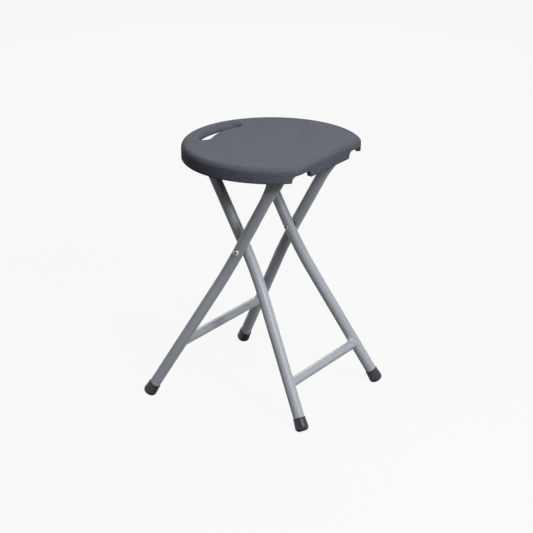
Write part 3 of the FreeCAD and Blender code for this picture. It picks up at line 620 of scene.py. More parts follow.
def slot_rings():
    """Rings from the top face into the slot, and out of it underneath."""
    outline = slot_outline()
    top = [(point, way, SLOT_TOP_ROUND + (GRIP_TOP_ROUND - SLOT_TOP_ROUND) * grip)
           for point, way, grip in outline]
    under = [(point, way, SLOT_UNDER_ROUND + (GRIP_UNDER_ROUND - SLOT_UNDER_ROUND) * grip)
             for point, way, grip in outline]
    rings = [[point + way * radius * (1 - math.sin(t)) + Z_UP * (SEAT_TOP - radius * (1 - math.cos(t)))
              for point, way, radius in top] for t in QUARTER_TURN]
    rings += [[point + way * radius * (1 - math.cos(t)) + Z_UP * (PANEL_BOTTOM + radius * (1 - math.sin(t)))
               for point, way, radius in under] for t in QUARTER_TURN]
    return rings


SLOT_RINGS = slot_rings()
print("slot of", len(SLOT_RINGS), "rings,", round((SLOT_OUTER - SLOT_INNER) / MM, 1), "mm wide")

# %% [markdown]
# ## Dimples underneath
# A blow-moulded panel is hollow. Its underside is pinched up towards the top in a field of dimples, which
# is what keeps the panel stiff. They stand in staggered rows, clear of the rim, the slot and the fittings.

# %% Dimple rings
DIMPLE_MOUTH, DIMPLE_FLOOR, DIMPLE_DEPTH = 10.5 * MM, 4.5 * MM, 7.5 * MM
DIMPLE_PITCH = 33 * MM
DIMPLE_CLEARANCE = 13 * MM
DIMPLE_ROWS = range(-5, 6)


def dimple_rings(x, y):
    rings = []
    for share in spread(0, 1, 9):
        radius = DIMPLE_MOUTH + (DIMPLE_FLOOR - DIMPLE_MOUTH) * share
        z = PANEL_BOTTOM + DIMPLE_DEPTH * share * share * (3 - 2 * share)
        rings.append([Vector((x + radius * math.cos(a), y + radius * math.sin(a), z))
                      for a in spread(0, 2 * math.pi, 25)[:-1]])
    return rings


def under_seat_boxes():
    """Plan of the fittings on the panel's underside, which the dimples keep clear of."""
    return [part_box(node) for node in ("hinge_bracket_left", "hinge_bracket_right", "bar_catch")]


def dimple_places():
    """A staggered field of dimples, mirrored left to right, clear of the rim, the slot and the fittings."""
    places = []
    row_step = DIMPLE_PITCH * math.sqrt(3) / 2
    for row in DIMPLE_ROWS:
        for column in DIMPLE_ROWS:
            x = SEAT_MIDDLE_X + row * row_step
            y = (column + (row % 2) / 2) * DIMPLE_PITCH
            reach = math.hypot(x - SEAT_MIDDLE_X, y)
            fits = reach < SEAT_RADIUS - RIM_WALL - RECESS_ROUND - DIMPLE_CLEARANCE
            fits = fits and x < SEAT_MIDDLE_X + FLAT_OFFSET - RIM_WALL - RECESS_ROUND - DIMPLE_CLEARANCE
            angle = abs(math.atan2(y, SEAT_MIDDLE_X - x))
            beside_slot = angle < SLOT_HALF_ANGLE + DIMPLE_CLEARANCE * 2 / SLOT_INNER
            fits = fits and not (beside_slot and reach > SLOT_INNER - SLOT_UNDER_ROUND - DIMPLE_CLEARANCE)
            for low, high in under_seat_boxes():
                over = (low.x - DIMPLE_CLEARANCE < x < high.x + DIMPLE_CLEARANCE
                        and low.y - DIMPLE_CLEARANCE < y < high.y + DIMPLE_CLEARANCE)
                fits = fits and not over
            if fits:
                places.append((x, y))
    return places


DIMPLES = dimple_places()
print(len(DIMPLES), "dimples under the seat")

# %% [markdown]
# ## Flat faces
# What is left of the seat is flat: the top, and the underside between its dimples. A flat face with holes
# could be one polygon, but a mesh of even triangles shades and bakes better. Blender's Delaunay
# triangulation takes the loops as fixed edges and a staggered grid of points between them. Triangles that
# lie in a hole are left out.

# %% Filling a flat face
GRID_STEP = 9 * MM


def between_loops(x, y, loops):
    """Whether a place lies inside the outer loop and outside the holes, by counting crossings."""
    inside = False
    for loop in loops:
        for start, end in zip(loop, loop[1:] + loop[:1]):
            if (start.co.y > y) != (end.co.y > y):
                crossing = start.co.x + (y - start.co.y) * (end.co.x - start.co.x) / (end.co.y - start.co.y)
                inside = inside != (crossing > x)
    return inside


def fill_flat(mesh, loops, z):
    """Cover the flat face between an outer loop and holes with even triangles."""
    border = [vertex for loop in loops for vertex in loop]
    edges, first = [], 0
    for loop in loops:
        edges += [(first + index, first + (index + 1) % len(loop)) for index in range(len(loop))]
        first += len(loop)
    near = KDTree(len(border))
    for index, vertex in enumerate(border):
        near.insert(vertex.co, index)
    near.balance()
    grid = []
    count = int(2 * SEAT_RADIUS / GRID_STEP)
    for row in range(count * 2):
        for column in range(count + 1):
            x = SEAT_MIDDLE_X - SEAT_RADIUS + (column + (row % 2) / 2) * GRID_STEP
            y = -SEAT_RADIUS + row * GRID_STEP * math.sqrt(3) / 2
            if between_loops(x, y, loops) and near.find((x, y, z))[2] > GRID_STEP / 2:
                grid.append(Vector((x, y)))
    flat = [vertex.co.to_2d() for vertex in border] + grid
    points, _, triangles, sources, _, _ = delaunay_2d_cdt(flat, edges, [], 0, 1e-9)
    corners = []
    for point, source in zip(points, sources):
        known = [index for index in source if index < len(border)]
        corners.append(border[known[0]] if known else mesh.verts.new((point.x, point.y, z)))
    for triangle in triangles:
        middle = sum((points[index] for index in triangle), Vector((0, 0))) / 3
        if between_loops(middle.x, middle.y, loops):
            mesh.faces.new([corners[index] for index in triangle])


print("flat faces are filled on a", GRID_STEP / MM, "mm grid")

# %% [markdown]
# ## The seat in one mesh
# The loops, the slot, the dimples and the flat faces share their vertices, so the seat is one closed skin,
# as the moulding is. Two saddle ribs that the inner frame's top bar rests against are moulded with it. They
# are extruded from a profile with an arc for the bar, and set a little way into the panel.

# %% Seat
RIB_FROM, RIB_TO = 24 * MM, 33 * MM
RIB_BACK, RIB_FRONT = -85.5 * MM, -71.5 * MM
RIB_SET_IN = 0.6 * MM
RIB_EDGE = 0.8 * MM
TUBE_RADIUS = 9.5 * MM
BAR_GAP = 0.3 * MM
BAR = Vector((2 * PIVOT.x - HINGE.x, 0, HINGE.z))


def saddle_rib(mesh, side):
    """A rib with an arc in its lower edge for the bar, with softened edges."""
    profile = [(RIB_FRONT, PANEL_BOTTOM + RIB_SET_IN), (RIB_BACK, PANEL_BOTTOM + RIB_SET_IN)]
    for x in spread(RIB_BACK, RIB_FRONT, 13):
        reach = TUBE_RADIUS + BAR_GAP
        profile.append((x, BAR.z + math.sqrt(reach ** 2 - (x - BAR.x) ** 2)))
    sides = [[Vector((x, side * y, z)) for x, z in profile] for y in (RIB_FROM, RIB_TO)]
    rows = skin(mesh, sides)
    rib = {vertex for row in rows for vertex in row}
    sharp = [edge for edge in mesh.edges if set(edge.verts) <= rib and edge.calc_face_angle(0) > SHARP_ANGLE]
    bmesh.ops.bevel(mesh, geom=sharp, offset=RIB_EDGE, segments=2, profile=0.5, affect="EDGES")


def seat_mesh():
    mesh = bmesh.new()
    rim = skin(mesh, RIM_LOOPS, cap_start=False, cap_end=False)
    slot = skin(mesh, SLOT_RINGS, cap_start=False, cap_end=False)
    dimples = [skin(mesh, dimple_rings(x, y), cap_start=False) for x, y in DIMPLES]
    fill_flat(mesh, [rim[0], slot[0]], SEAT_TOP)
    fill_flat(mesh, [rim[-1], slot[-1]] + [rows[0] for rows in dimples], PANEL_BOTTOM)
    bmesh.ops.recalc_face_normals(mesh, faces=mesh.faces)
    for side in SIDES.values():
        saddle_rib(mesh, side)
    return mesh


place_piece("seat_moulding", seat_mesh(), SEAT_PLASTIC, "seat", "seat_plastic", "seat_shell")

# %% [markdown]
# ## Leg tubes
# Each leg runs straight from under the seat past the crossing pivot, then sweeps outwards in one long bend
# to a splayed foot. In the upright frame that is a line in a plane, so a tube is a row of circles square to
# that line. Curve objects with a bevel could do the same, but rings let the tops change section.

# %% Leg line and tube rings
BEND_RADIUS = 452 * MM
BEND_BELOW_PIVOT = 43 * MM
CAP_END_HEIGHT = 1.9 * MM
CAP_BASE = 6 * MM
RING_POINTS = 44
pin_low, pin_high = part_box("hinge_pin_left")
OUTER_LEG_Y = (pin_low.y + pin_high.y) / 2
INNER_LEG_Y = 67.2 * MM
OUTER_SPLAY, INNER_SPLAY = math.radians(11.9), math.radians(11.5)
FOOT_ALONG = -(PIVOT.z - CAP_END_HEIGHT) / math.cos(LEG_TILT)


def foot_end(top_y, splay):
    """Middle of a foot cap's end in the upright frame, as (across, along)."""
    return top_y - (FOOT_ALONG + BEND_BELOW_PIVOT) * math.tan(splay), FOOT_ALONG


def leg_line(top_y, splay, top):
    """A leg's centre line from its foot upwards, as (across, along, angle of the tube)."""
    bend_start = BEND_RADIUS * math.tan(splay / 2) - BEND_BELOW_PIVOT
    foot_y, foot_z = foot_end(top_y, splay)
    foot_y -= CAP_BASE * math.sin(splay)
    foot_z += CAP_BASE * math.cos(splay)
    bend = [(top_y + BEND_RADIUS * (1 - math.cos(turn)), bend_start - BEND_RADIUS * math.sin(turn), turn)
            for turn in spread(splay, 0, 13)]
    lower = [(foot_y + (bend[0][0] - foot_y) * share, foot_z + (bend[0][1] - foot_z) * share, splay)
             for share in spread(0, 1, 9)[:-1]]
    upper = [(top_y, bend_start + (top - bend_start) * share, 0.0) for share in spread(0, 1, 9)[1:]]
    return lower + bend + upper


def tube_ring(across, along, angle, radius=TUBE_RADIUS):
    """A circle of points square to the centre line, in the upright frame."""
    ring = []
    for turn in spread(0, 2 * math.pi, RING_POINTS + 1)[:-1]:
        out = radius * math.sin(turn)
        ring.append(Vector((radius * math.cos(turn), across + out * math.cos(angle),
                            along + out * math.sin(angle))))
    return ring


def stand(rings, side, direction):
    """Mirror upright rings to a side of the stool and lean them over."""
    return [[lean((point.x, side * point.y, point.z), direction) for point in ring] for ring in rings]


print("outer legs", round(2 * OUTER_LEG_Y / MM, 1), "mm apart, inner legs", round(2 * INNER_LEG_Y / MM, 1))

# %% [markdown]
# ## Outer legs with flattened tops
# The top of each outer leg is pressed flat so that it fits between the ears of the hinge under the seat.
# The tube widens as it flattens, which shows in the way that the legs flare just below the seat. Its
# section goes from a circle to a thin rounded bar, and the tip is rounded about the hinge pin.

# %% Outer legs
FLARE_START, FLARE_END = 106 * MM, 152 * MM
FLARE_EASE = 1.25
FLAT_HALF_WIDTH, FLAT_HALF_THICKNESS = 13.6 * MM, 1.5 * MM
FLAT_SQUARENESS = 4.0
TIP_ROUND = 0.96


def signed_power(value, power):
    return math.copysign(abs(value) ** power, value)


def pressed_ring(along, half_width, half_thickness, squareness):
    """A section of the pressed tube: a circle at a squareness of 2, and ever nearer a flat bar above that."""
    power = 2.0 / squareness
    return [Vector((signed_power(math.cos(turn), power) * half_width,
                    OUTER_LEG_Y + signed_power(math.sin(turn), power) * half_thickness, along))
            for turn in spread(0, 2 * math.pi, RING_POINTS + 1)[:-1]]


def pressed_top():
    rings = []
    for share in spread(0, 1, 19)[1:]:
        eased = share ** FLARE_EASE
        flat = eased * eased * (3 - 2 * eased)
        rings.append(pressed_ring(FLARE_START + (FLARE_END - FLARE_START) * share,
                                  TUBE_RADIUS + flat * (FLAT_HALF_WIDTH - TUBE_RADIUS),
                                  TUBE_RADIUS + flat * (FLAT_HALF_THICKNESS - TUBE_RADIUS),
                                  2.0 + flat * (FLAT_SQUARENESS - 2.0)))
    for turn in spread(0, math.pi / 2 * TIP_ROUND, 12):
        rings.append(pressed_ring(HINGE_ALONG + FLAT_HALF_WIDTH * math.sin(turn),
                                  FLAT_HALF_WIDTH * math.cos(turn), FLAT_HALF_THICKNESS, FLAT_SQUARENESS))
    return rings


for name, side in SIDES.items():
    upright = [tube_ring(*place) for place in leg_line(OUTER_LEG_Y, OUTER_SPLAY, FLARE_START)] + pressed_top()
    leg = bmesh.new()
    skin(leg, stand(upright, side, FEET_BACK))
    place_piece("outer_leg_tube_" + name, leg, FRAME_COAT, "outer_frame", "frame_paint", "outer_leg_" + name)

# %% [markdown]
# ## The inner frame
# The inner legs are one tube, bent round at the top into a bar that the seat rests on. Its line goes up one
# leg, round a tight bend, along the bar and down the other leg, so the second half is the first one
# mirrored.

# %% Inner frame
TOP_BEND_RADIUS = 28 * MM


def inner_frame_rings():
    up = leg_line(INNER_LEG_Y, INNER_SPLAY, HINGE_ALONG - TOP_BEND_RADIUS)
    bend_y, bend_z = INNER_LEG_Y - TOP_BEND_RADIUS, HINGE_ALONG - TOP_BEND_RADIUS
    up += [(bend_y + TOP_BEND_RADIUS * math.cos(turn), bend_z + TOP_BEND_RADIUS * math.sin(turn), turn)
           for turn in spread(0, math.pi / 2, 13)[1:]]
    bar = [(y, HINGE_ALONG, math.pi / 2) for y in spread(bend_y, 0, 5)[1:]]
    half = [tube_ring(*place) for place in up + bar]
    other = [[Vector((point.x, -point.y, point.z)) for point in ring] for ring in half[-2::-1]]
    return half + other


tube = bmesh.new()
skin(tube, stand(inner_frame_rings(), 1, FEET_FRONT))
place_piece("inner_frame_tubing", tube, FRAME_COAT, "inner_frame", "frame_paint", "inner_frame_tube")

# %% [markdown]
# ## Crossbars
# A straight tube joins each pair of legs near the floor. Its ends are cut to the round of the legs, which
# only needs the distance along the bar at which each line of its surface meets the leg.

# %% Crossbars
CROSSBAR_RADIUS = 8 * MM
CROSSBARS = {
    "outer": (OUTER_LEG_Y, OUTER_SPLAY, FEET_BACK),
    "inner": (INNER_LEG_Y, INNER_SPLAY, FEET_FRONT),
}


def crossbar_place(name):
    """Half the distance between the legs at a crossbar, and its place along the upright frame."""
    low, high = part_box(name + "_crossbar")
    top_y, splay, _ = CROSSBARS[name]
    along = ((low.z + high.z) / 2 - PIVOT.z) / math.cos(LEG_TILT)
    return top_y - (along + BEND_BELOW_PIVOT) * math.tan(splay), along


def on_leg(turn, radius, half, splay, along):
    """Where a line along a bar of some radius meets the leg, in the upright frame."""
    x = radius * math.cos(turn)
    up = radius * math.sin(turn)
    face = math.sqrt(TUBE_RADIUS ** 2 - x ** 2)
    return Vector((x, half - (face + up * math.sin(splay)) / math.cos(splay), along + up))


def crossbar_tube(name):
    _, splay, direction = CROSSBARS[name]
    half, along = crossbar_place(name)
    turns = spread(0, 2 * math.pi, RING_POINTS + 1)[:-1]
    left_end = [on_leg(turn, CROSSBAR_RADIUS, half, splay, along) for turn in turns]
    right_end = [Vector((point.x, -point.y, point.z)) for point in left_end]
    bar_rings = [[a.lerp(b, share) for a, b in zip(left_end, right_end)] for share in spread(0, 1, 13)]
    mesh = bmesh.new()
    skin(mesh, stand(bar_rings, 1, direction))
    return mesh


for name in CROSSBARS:
    print(name, "legs are", round(2 * crossbar_place(name)[0] / MM, 1), "mm apart at the crossbar")

# %% [markdown]
# ## Weld beads
# Each crossbar end is welded all round. The bead is a smooth cove between bar and leg, drawn as a curve
# that leaves the bar, bends towards the seam and runs out on the leg. It is widest on the upper side, where
# the torch could reach best, and thin at the sides, where the two tubes are almost as wide as each other.
# Under the powder coat, its ripples still show faintly.

# %% Weld beads
WELD_TOP_REACH, WELD_UNDER_REACH, WELD_SIDE_REACH = 9 * MM, 4.5 * MM, 1.1 * MM
WELD_RIPPLE, WELD_RIPPLES = 0.09 * MM, 26
WELD_POINTS = 104
weld_turns = spread(0, 2 * math.pi, WELD_POINTS + 1)[:-1]


def weld_point(turn, share, half, splay, along):
    """A point of the bead: round the bar by turn, and from the bar to the leg by share."""
    most = WELD_TOP_REACH if math.sin(turn) > 0 else WELD_UNDER_REACH
    reach = WELD_SIDE_REACH + (most - WELD_SIDE_REACH) * math.sin(turn) ** 4
    seam = on_leg(turn, CROSSBAR_RADIUS, half, splay, along)
    on_bar = seam - Vector((0, reach, 0))
    far = on_leg(turn, CROSSBAR_RADIUS + reach, half, splay, along)
    swell = Vector((math.cos(turn), -1, math.sin(turn))).normalized()
    ripple = WELD_RIPPLE * (1 + math.cos(WELD_RIPPLES * turn)) * math.sin(math.pi * share)
    return on_bar.lerp(seam, share).lerp(seam.lerp(far, share), share) + swell * ripple


def weld_rings(half, splay, along):
    """The bead as rings across it, closed by a ring inside the joint."""
    rings = [[weld_point(turn, share, half, splay, along) for turn in weld_turns]
             for share in spread(0, 1, 7)]
    inside = CROSSBAR_RADIUS - WELD_SIDE_REACH
    rings.append([on_leg(turn, inside, half, splay, along) for turn in weld_turns])
    return rings


def weld_beads(name):
    _, splay, direction = CROSSBARS[name]
    half, along = crossbar_place(name)
    mesh = bmesh.new()
    for side in SIDES.values():
        rings = stand(weld_rings(half, splay, along), side, direction)
        skin(mesh, rings + rings[:1], cap_start=False, cap_end=False)
    bmesh.ops.remove_doubles(mesh, verts=mesh.verts, dist=1e-7)
    return mesh


for name in CROSSBARS:
    place_piece(name + "_crossbar_tube", crossbar_tube(name), FRAME_COAT, name + "_frame", "frame_paint",
                name + "_crossbar")
    place_piece(name + "_weld_beads", weld_beads(name), FRAME_COAT, name + "_frame", "frame_paint",
                name + "_crossbar_welds")

# %% [markdown]
# ## Turned pieces
# Caps, rivets, pins and washers are all turned: a profile of radius against height, carried round an axis.
# The profile starts and ends on the axis, or closes on itself for a ring. Small roundings on every edge
# catch the light, which is what tells a real fastener from a plain cylinder.

# %% Turning a profile
TURN_POINTS = 48


def turned(mesh, profile, origin, axis, ring=False):
    """Carry a profile of (radius, height) round an axis. A ring's profile closes on itself."""
    axis = axis.normalized()
    side = axis.orthogonal().normalized()
    across = axis.cross(side)
    rings = []
    for radius, height in profile:
        rings.append([origin + axis * height + (side * math.cos(turn) + across * math.sin(turn)) * radius
                      for turn in spread(0, 2 * math.pi, TURN_POINTS + 1)[:-1]])
    if ring:
        skin(mesh, rings + rings[:1], cap_start=False, cap_end=False)
        bmesh.ops.remove_doubles(mesh, verts=mesh.verts, dist=1e-7)
    else:
        skin(mesh, rings)


def rounded(corner, before, after, radius, count=5):
    """Points of an arc-like rounding at a corner of a profile, between its two neighbours."""
    corner, before, after = Vector(corner), Vector(before), Vector(after)
    start = corner + (before - corner).normalized() * radius
    end = corner + (after - corner).normalized() * radius
    return [tuple(start.lerp(corner, share).lerp(corner.lerp(end, share), share))
            for share in spread(0, 1, count)]


def round_profile(points, radii):
    """A profile with each inner corner rounded by its own radius."""
    profile = [points[0]]
    for before, corner, after, radius in zip(points, points[1:], points[2:], radii):
        profile += rounded(corner, before, after, radius)
    return profile + [points[-1]]


print("profiles are turned in", TURN_POINTS, "steps")

# %% [markdown]
# ## Foot caps
# A soft cap is pushed over each tube end. It widens slightly towards the floor, has a thin lip round its
# mouth and a rounded sole. The legs slope, so only a small patch of the sole meets the floor: there it is
# flat. The cap is turned from a profile, and every point that would lie below the floor is lifted to it.

# %% Foot caps
CAP_LENGTH = 23.2 * MM
CAP_LIP_RADIUS, CAP_FOOT_RADIUS = 10.7 * MM, 11.6 * MM
CAP_LIP_HEIGHT = 1.6 * MM
CAP_LIP_STEP = 0.25 * MM
CAP_LIP_ROUNDS = [0.6 * MM, 0.3 * MM, 0.45 * MM, 0.2 * MM]
CAP_ROUND = 7 * MM
CAP_MOUTH_DEPTH = 3 * MM
FOOT_POINT = 0.05 * MM


def cap_profile():
    dome = [(CAP_FOOT_RADIUS - CAP_ROUND * (1 - math.sin(turn)), CAP_ROUND * (1 - math.cos(turn)))
            for turn in spread(0, math.pi / 2, 15)]
    lip_low = CAP_LENGTH - CAP_LIP_HEIGHT
    mouth = TUBE_RADIUS + FOOT_POINT
    body = CAP_LIP_RADIUS - CAP_LIP_STEP
    upper = round_profile(
        [dome[-1], (body, lip_low - CAP_LIP_STEP), (CAP_LIP_RADIUS, lip_low), (CAP_LIP_RADIUS, CAP_LENGTH),
         (mouth, CAP_LENGTH), (mouth, CAP_LENGTH - CAP_MOUTH_DEPTH)], CAP_LIP_ROUNDS)
    (low_radius, low), (high_radius, high) = dome[-1], upper[1]
    wall = [(low_radius + (high_radius - low_radius) * share, low + (high - low) * share)
            for share in spread(0, 1, 6)[1:-1]]
    return [(FOOT_POINT, 0)] + dome + wall + upper[1:]


FEET = {"outer_foot": (OUTER_LEG_Y, OUTER_SPLAY, FEET_BACK, "outer_frame"),
        "inner_foot": (INNER_LEG_Y, INNER_SPLAY, FEET_FRONT, "inner_frame")}
for foot, (top_y, splay, direction, body) in FEET.items():
    for name, side in SIDES.items():
        across, along = foot_end(top_y, splay)
        end = lean((0, side * across, along), direction)
        upward = lean((0, side * (across - math.sin(splay)), along + math.cos(splay)), direction) - end
        cap = bmesh.new()
        turned(cap, cap_profile(), end, upward)
        for vertex in cap.verts:
            vertex.co.z = max(vertex.co.z, 0.0)
        place_piece(foot + "_cap_" + name, cap, CAP_PLASTIC, body, "foot_rubber", foot + "_" + name)

# %% [markdown]
# ## Pivot rivets and spacers
# A rivet goes through each crossing. Its factory head is outside: a round rim with a dish in the middle,
# where the setting tool held it. The other end is rolled over inside the frame and stays hollow. Head,
# shank and tail are one profile, so the rivet is one closed piece. A thin plastic washer keeps the painted
# tubes from rubbing.

# %% Pivot rivets and spacers
RIVET_RADIUS = 3 * MM
HEAD_RADIUS, HEAD_HEIGHT, HEAD_SEAT = 5.7 * MM, 2.5 * MM, 1.8 * MM
DISH_RADIUS, DISH_FLOOR_RADIUS, DISH_DEPTH = 3.5 * MM, 1.6 * MM, 1.5 * MM
HEAD_ROUNDS = [0.9 * MM, 1.5 * MM, 1.2 * MM, 0.1 * MM, 0.1 * MM]
TAIL_RADIUS, TAIL_TIP_RADIUS, TAIL_HEIGHT = 4.2 * MM, 3.9 * MM, 1.9 * MM
TAIL_BORE_RADIUS, TAIL_BORE_DEPTH = 1.9 * MM, 2.4 * MM
TAIL_ROUNDS = [0.3 * MM, 0.8 * MM, 0.5 * MM, 0.3 * MM]
AXIS_POINT = 0.02 * MM


def rivet_profile(length):
    """From the dish in the head at the top, over the rim, down the shank and into the hollow tail."""
    crest, floor, seat = length + HEAD_HEIGHT, length + HEAD_HEIGHT - DISH_DEPTH, length - HEAD_SEAT
    head = round_profile(
        [(AXIS_POINT, floor), (DISH_FLOOR_RADIUS, floor), (DISH_RADIUS, crest), (HEAD_RADIUS, length),
         (HEAD_RADIUS, seat), (RIVET_RADIUS, seat), (RIVET_RADIUS, 0)], HEAD_ROUNDS)
    bore_end = TAIL_BORE_DEPTH - TAIL_HEIGHT
    tail = round_profile(
        [(RIVET_RADIUS, 0), (TAIL_RADIUS, 0), (TAIL_TIP_RADIUS, -TAIL_HEIGHT),
         (TAIL_BORE_RADIUS, -TAIL_HEIGHT), (TAIL_BORE_RADIUS, bore_end), (AXIS_POINT, bore_end)], TAIL_ROUNDS)
    return head + tail[1:]


def washer_profile(outer, inner, low, high, edge):
    corners = [(inner, low), (outer, low), (outer, high), (inner, high)]
    profile = []
    for index, corner in enumerate(corners):
        profile += rounded(corner, corners[index - 1], corners[(index + 1) % 4], edge, 4)
    return profile


SPACER_EDGE = 0.15 * MM
for name, side in SIDES.items():
    outward = Vector((0, side, 0))
    tail_face = INNER_LEG_Y - TUBE_RADIUS - BAR_GAP
    rivet = bmesh.new()
    turned(rivet, rivet_profile(OUTER_LEG_Y + TUBE_RADIUS - tail_face), PIVOT + outward * tail_face, outward)
    place_piece("crossing_rivet_" + name, rivet, RIVET_STEEL, "outer_frame", "rivet_steel",
                "pivot_rivet_" + name)
    low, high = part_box("pivot_spacer_" + name)
    spacer = bmesh.new()
    turned(spacer, washer_profile((high.x - low.x) / 2, RIVET_RADIUS, low.y, high.y, SPACER_EDGE), PIVOT,
           Vector((0, 1, 0)), ring=True)
    place_piece("crossing_spacer_" + name, spacer, SPACER_PLASTIC, "outer_frame", "spacer_plastic",
                "pivot_spacer_" + name)

# %% [markdown]
# ## Hinge pins and washers
# Under the seat, each flattened leg top turns on a short pin between two ears, with a washer either side of
# it. They are out of sight until the stool is turned over, and are turned from profiles in the same way.

# %% Hinge pins and washers
PIN_RADIUS, PIN_HEAD_RADIUS, PIN_HEAD_HEIGHT = 3 * MM, 5 * MM, 2 * MM
WASHER_RADIUS, WASHER_THICKNESS, WASHER_EDGE = 6.5 * MM, 0.8 * MM, 0.2 * MM
EAR_GAP = 5.2 * MM


def pin_profile(length):
    """A shank with a domed head at each end, about the middle of its length."""
    half = length / 2 - PIN_HEAD_HEIGHT
    dome = [(max(PIN_HEAD_RADIUS * math.cos(turn), AXIS_POINT), half + PIN_HEAD_HEIGHT * math.sin(turn))
            for turn in spread(0, math.pi / 2, 9)]
    upper = [(PIN_RADIUS, half)] + dome
    return [(radius, -height) for radius, height in upper[::-1]] + upper


washers = bmesh.new()
for name, side in SIDES.items():
    low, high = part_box("hinge_pin_" + name)
    middle = Vector((HINGE.x, (low.y + high.y) / 2, HINGE.z))
    pin = bmesh.new()
    turned(pin, pin_profile(high.y - low.y), middle, Vector((0, 1, 0)))
    place_piece("seat_hinge_pin_" + name, pin, PIN_STEEL, "seat", "rivet_steel", "hinge_pin_" + name)
    slack = (EAR_GAP / 2 - FLAT_HALF_THICKNESS - WASHER_THICKNESS) / 2
    for face in (FLAT_HALF_THICKNESS + slack, -FLAT_HALF_THICKNESS - slack - WASHER_THICKNESS):
        profile = washer_profile(WASHER_RADIUS, PIN_RADIUS, face, face + WASHER_THICKNESS, WASHER_EDGE)
        turned(washers, profile, middle, Vector((0, 1, 0)), ring=True)
place_piece("seat_hinge_washers", washers, ZINC_PLATE, "seat", "zinc_steel", "hinge_washers")

# %% [markdown]
# ## Brackets and catch
# The hinge brackets are pressed from sheet and the catch is moulded, so none of their edges is sharp. Their
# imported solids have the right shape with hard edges. A copy of each, cleaned of its flat triangles and with
# its edges bevelled, gets the small roundings that a press or a mould leaves.

# %% Brackets and catch
FLAT_ANGLE = math.radians(0.5)
MERGE_DISTANCE = 0.002 * MM


def softened(node, edge):
    """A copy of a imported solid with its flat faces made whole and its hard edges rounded."""
    mesh = bmesh.new()
    mesh.from_mesh(frame["nodes"][node].data)
    bmesh.ops.remove_doubles(mesh, verts=mesh.verts, dist=MERGE_DISTANCE)
    bmesh.ops.dissolve_limit(mesh, angle_limit=FLAT_ANGLE, verts=mesh.verts, edges=mesh.edges)
    sharp = [line for line in mesh.edges if line.calc_face_angle(0) > SHARP_ANGLE]
    bmesh.ops.bevel(mesh, geom=sharp, offset=edge, segments=3, profile=0.5, affect="EDGES",
                    clamp_overlap=True)
    return mesh


BRACKET_EDGE, CATCH_EDGE = 0.4 * MM, 0.8 * MM
for name in SIDES:
    place_piece("seat_hinge_bracket_" + name, softened("hinge_bracket_" + name, BRACKET_EDGE), ZINC_PLATE,
                "seat", "zinc_steel", "hinge_bracket_" + name)
place_piece("top_bar_catch", softened("bar_catch", CATCH_EDGE), CATCH_PLASTIC, "seat", "catch_plastic",
            "bar_catch")

# %% [markdown]
# ## Screws
# The screws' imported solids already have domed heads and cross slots, so they stay as they are and only take
# the zinc finish.

# %% Screws
for node in ("hinge_screws", "catch_screws"):
    screws = frame["nodes"][node]
    screws.data.materials.clear()
    screws.data.materials.append(ZINC_PLATE)
    print(node, "in", ZINC_PLATE.name)

# %% [markdown]
# ## Floor
# The stool stands on a plain pale floor that runs out of the picture. A real white floor would need so much
# light that the stool on it would look washed out. So the floor shows most of its white as its own colour,
# to the camera and in reflections alike, and the rest is real shading, which keeps the stool's shadow. To
# all other rays it is a dark floor, as if the stool stood alone on a low stand, and throws little light up
# under the seat.

# %% Floor
FLOOR_HALF = 6.0
FLOOR_PALE, FLOOR_BOUNCE = 0.9, 0.05
FLOOR_WHITE, FLOOR_WHITE_SHARE = 0.965, 0.945

floor_mesh = bmesh.new()
bmesh.ops.create_grid(floor_mesh, x_segments=1, y_segments=1, size=FLOOR_HALF)
floor_data = bpy.data.meshes.new("floor")
floor_mesh.to_mesh(floor_data)
floor_mesh.free()
floor = bpy.data.objects.new("floor", floor_data)
bpy.context.scene.collection.objects.link(floor)


def seen_rays(tree):
    """1 for rays from the camera and for rays that a mirror or glass sends on, 0 for the others."""
    rays = tree.nodes.new("ShaderNodeLightPath")
    seen = rays.outputs["Is Camera Ray"]
    for ray in ("Is Glossy Ray", "Is Transmission Ray"):
        either = tree.nodes.new("ShaderNodeMath")
        either.operation = "MAXIMUM"
        tree.links.new(seen, either.inputs[0])
        tree.links.new(rays.outputs[ray], either.inputs[1])
        seen = either.outputs["Value"]
    return seen


def floor_finish():
    finish = bpy.data.materials.new("pale_floor")
    finish.use_nodes = True
    tree = finish.node_tree
    tree.nodes.clear()
    seen = seen_rays(tree)
    tone = tree.nodes.new("ShaderNodeMapRange")
    tone.inputs["To Min"].default_value = FLOOR_BOUNCE
    tone.inputs["To Max"].default_value = FLOOR_PALE
    tree.links.new(seen, tone.inputs["Value"])
    matt = tree.nodes.new("ShaderNodeBsdfDiffuse")
    tree.links.new(tone.outputs["Result"], matt.inputs["Color"])
    white = tree.nodes.new("ShaderNodeEmission")
    white.inputs["Color"].default_value = (FLOOR_WHITE, FLOOR_WHITE, FLOOR_WHITE, 1)
    share = tree.nodes.new("ShaderNodeMath")
    share.operation = "MULTIPLY"
    share.inputs[1].default_value = FLOOR_WHITE_SHARE
    tree.links.new(seen, share.inputs[0])
    mix = tree.nodes.new("ShaderNodeMixShader")
    tree.links.new(share.outputs["Value"], mix.inputs["Fac"])
    tree.links.new(matt.outputs["BSDF"], mix.inputs[1])
    tree.links.new(white.outputs["Emission"], mix.inputs[2])
    output = tree.nodes.new("ShaderNodeOutputMaterial")
    tree.links.new(mix.outputs["Shader"], output.inputs["Surface"])
    return finish


floor_data.materials.append(floor_finish())
print("floor", 2 * FLOOR_HALF, "metres across")

# %% [markdown]
# ## Studio walls
# Seen from low down, the picture reaches past the end of the floor. There a pale wall all round closes the
# studio, and it fades out towards a dark ceiling. Like the floor, it is pale to the camera and in
# reflections, and gives off only a trace of light.

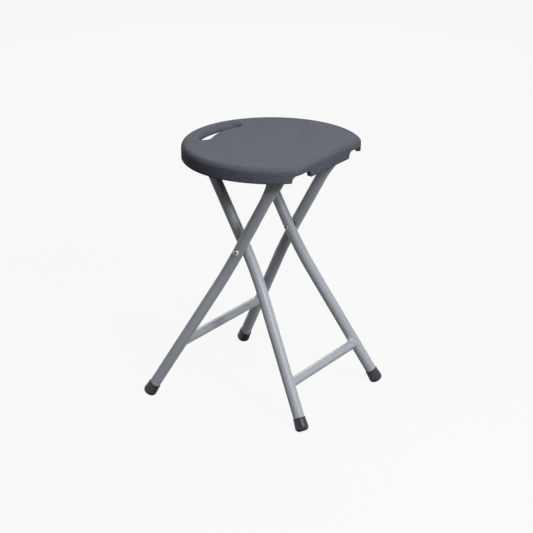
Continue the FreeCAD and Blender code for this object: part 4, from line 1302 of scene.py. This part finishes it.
# %% Studio walls
WALL_COLOUR = (0.98, 0.98, 0.98)
WALL_LIGHT = 0.04
WALL_FADE_FROM, WALL_FADE_TO = 0.3, 0.5

scene = bpy.context.scene
scene.view_settings.view_transform = "Standard"
studio = bpy.data.worlds.new("studio")
studio.use_nodes = True
scene.world = studio
nodes, links = studio.node_tree.nodes, studio.node_tree.links
way = nodes.new("ShaderNodeSeparateXYZ")
links.new(nodes.new("ShaderNodeTexCoord").outputs["Generated"], way.inputs["Vector"])
wall = nodes.new("ShaderNodeMapRange")
wall.interpolation_type = "SMOOTHSTEP"
wall.inputs["From Min"].default_value = WALL_FADE_FROM
wall.inputs["From Max"].default_value = WALL_FADE_TO
wall.inputs["To Min"].default_value = FLOOR_WHITE
wall.inputs["To Max"].default_value = 0.0
links.new(way.outputs["Z"], wall.inputs["Value"])
shown = nodes.new("ShaderNodeMath")
shown.operation = "MULTIPLY_ADD"
links.new(seen_rays(studio.node_tree), shown.inputs[0])
links.new(wall.outputs["Result"], shown.inputs[1])
shown.inputs[2].default_value = WALL_LIGHT
nodes["Background"].inputs["Color"].default_value = (*WALL_COLOUR, 1)
links.new(shown.outputs["Value"], nodes["Background"].inputs["Strength"])
print("walls fade from", round(math.degrees(math.asin(WALL_FADE_FROM))), "degrees up")

# %% [markdown]
# ## Lamps
# Five soft lamps light the stool. Two hang above it and make the seat's top its lightest face. A small one
# at the right draws the bright line down the front legs, and a wider one beside it puts a broader sheen on
# the caps. A wide one stands behind, so that the back of the stool isn't lost in the dark. They are only as
# strong as it takes for the colours to look about as they are written.

# %% Lamps
LAMPS = {
    "overhead_softbox": {"at": (0.3, -0.2, 2.0), "size": 1.8, "watts": 10.5},
    "right_softbox": {"at": (1.1, -0.55, 2.2), "size": 1.0, "watts": 17.0},
    "highlight_softbox": {"at": (2.0, -0.95, 1.75), "size": 0.5, "watts": 23.0},
    "side_softbox": {"at": (2.2, 0.45, 1.5), "size": 1.1, "watts": 9.0},
    "back_softbox": {"at": (-1.5, 2.2, 1.5), "size": 1.6, "watts": 22.0},
}
LAMP_AIM = Vector((0, 0, 250)) * MM

for name, values in LAMPS.items():
    lamp_data = bpy.data.lights.new(name, "AREA")
    lamp_data.size = values["size"]
    lamp_data.energy = values["watts"]
    lamp = bpy.data.objects.new(name, lamp_data)
    lamp.location = values["at"]
    lamp.rotation_mode = "QUATERNION"
    lamp.rotation_quaternion = (lamp.location - LAMP_AIM).to_track_quat("Z", "Y")
    scene.collection.objects.link(lamp)
    print(name, values["watts"], "watts")
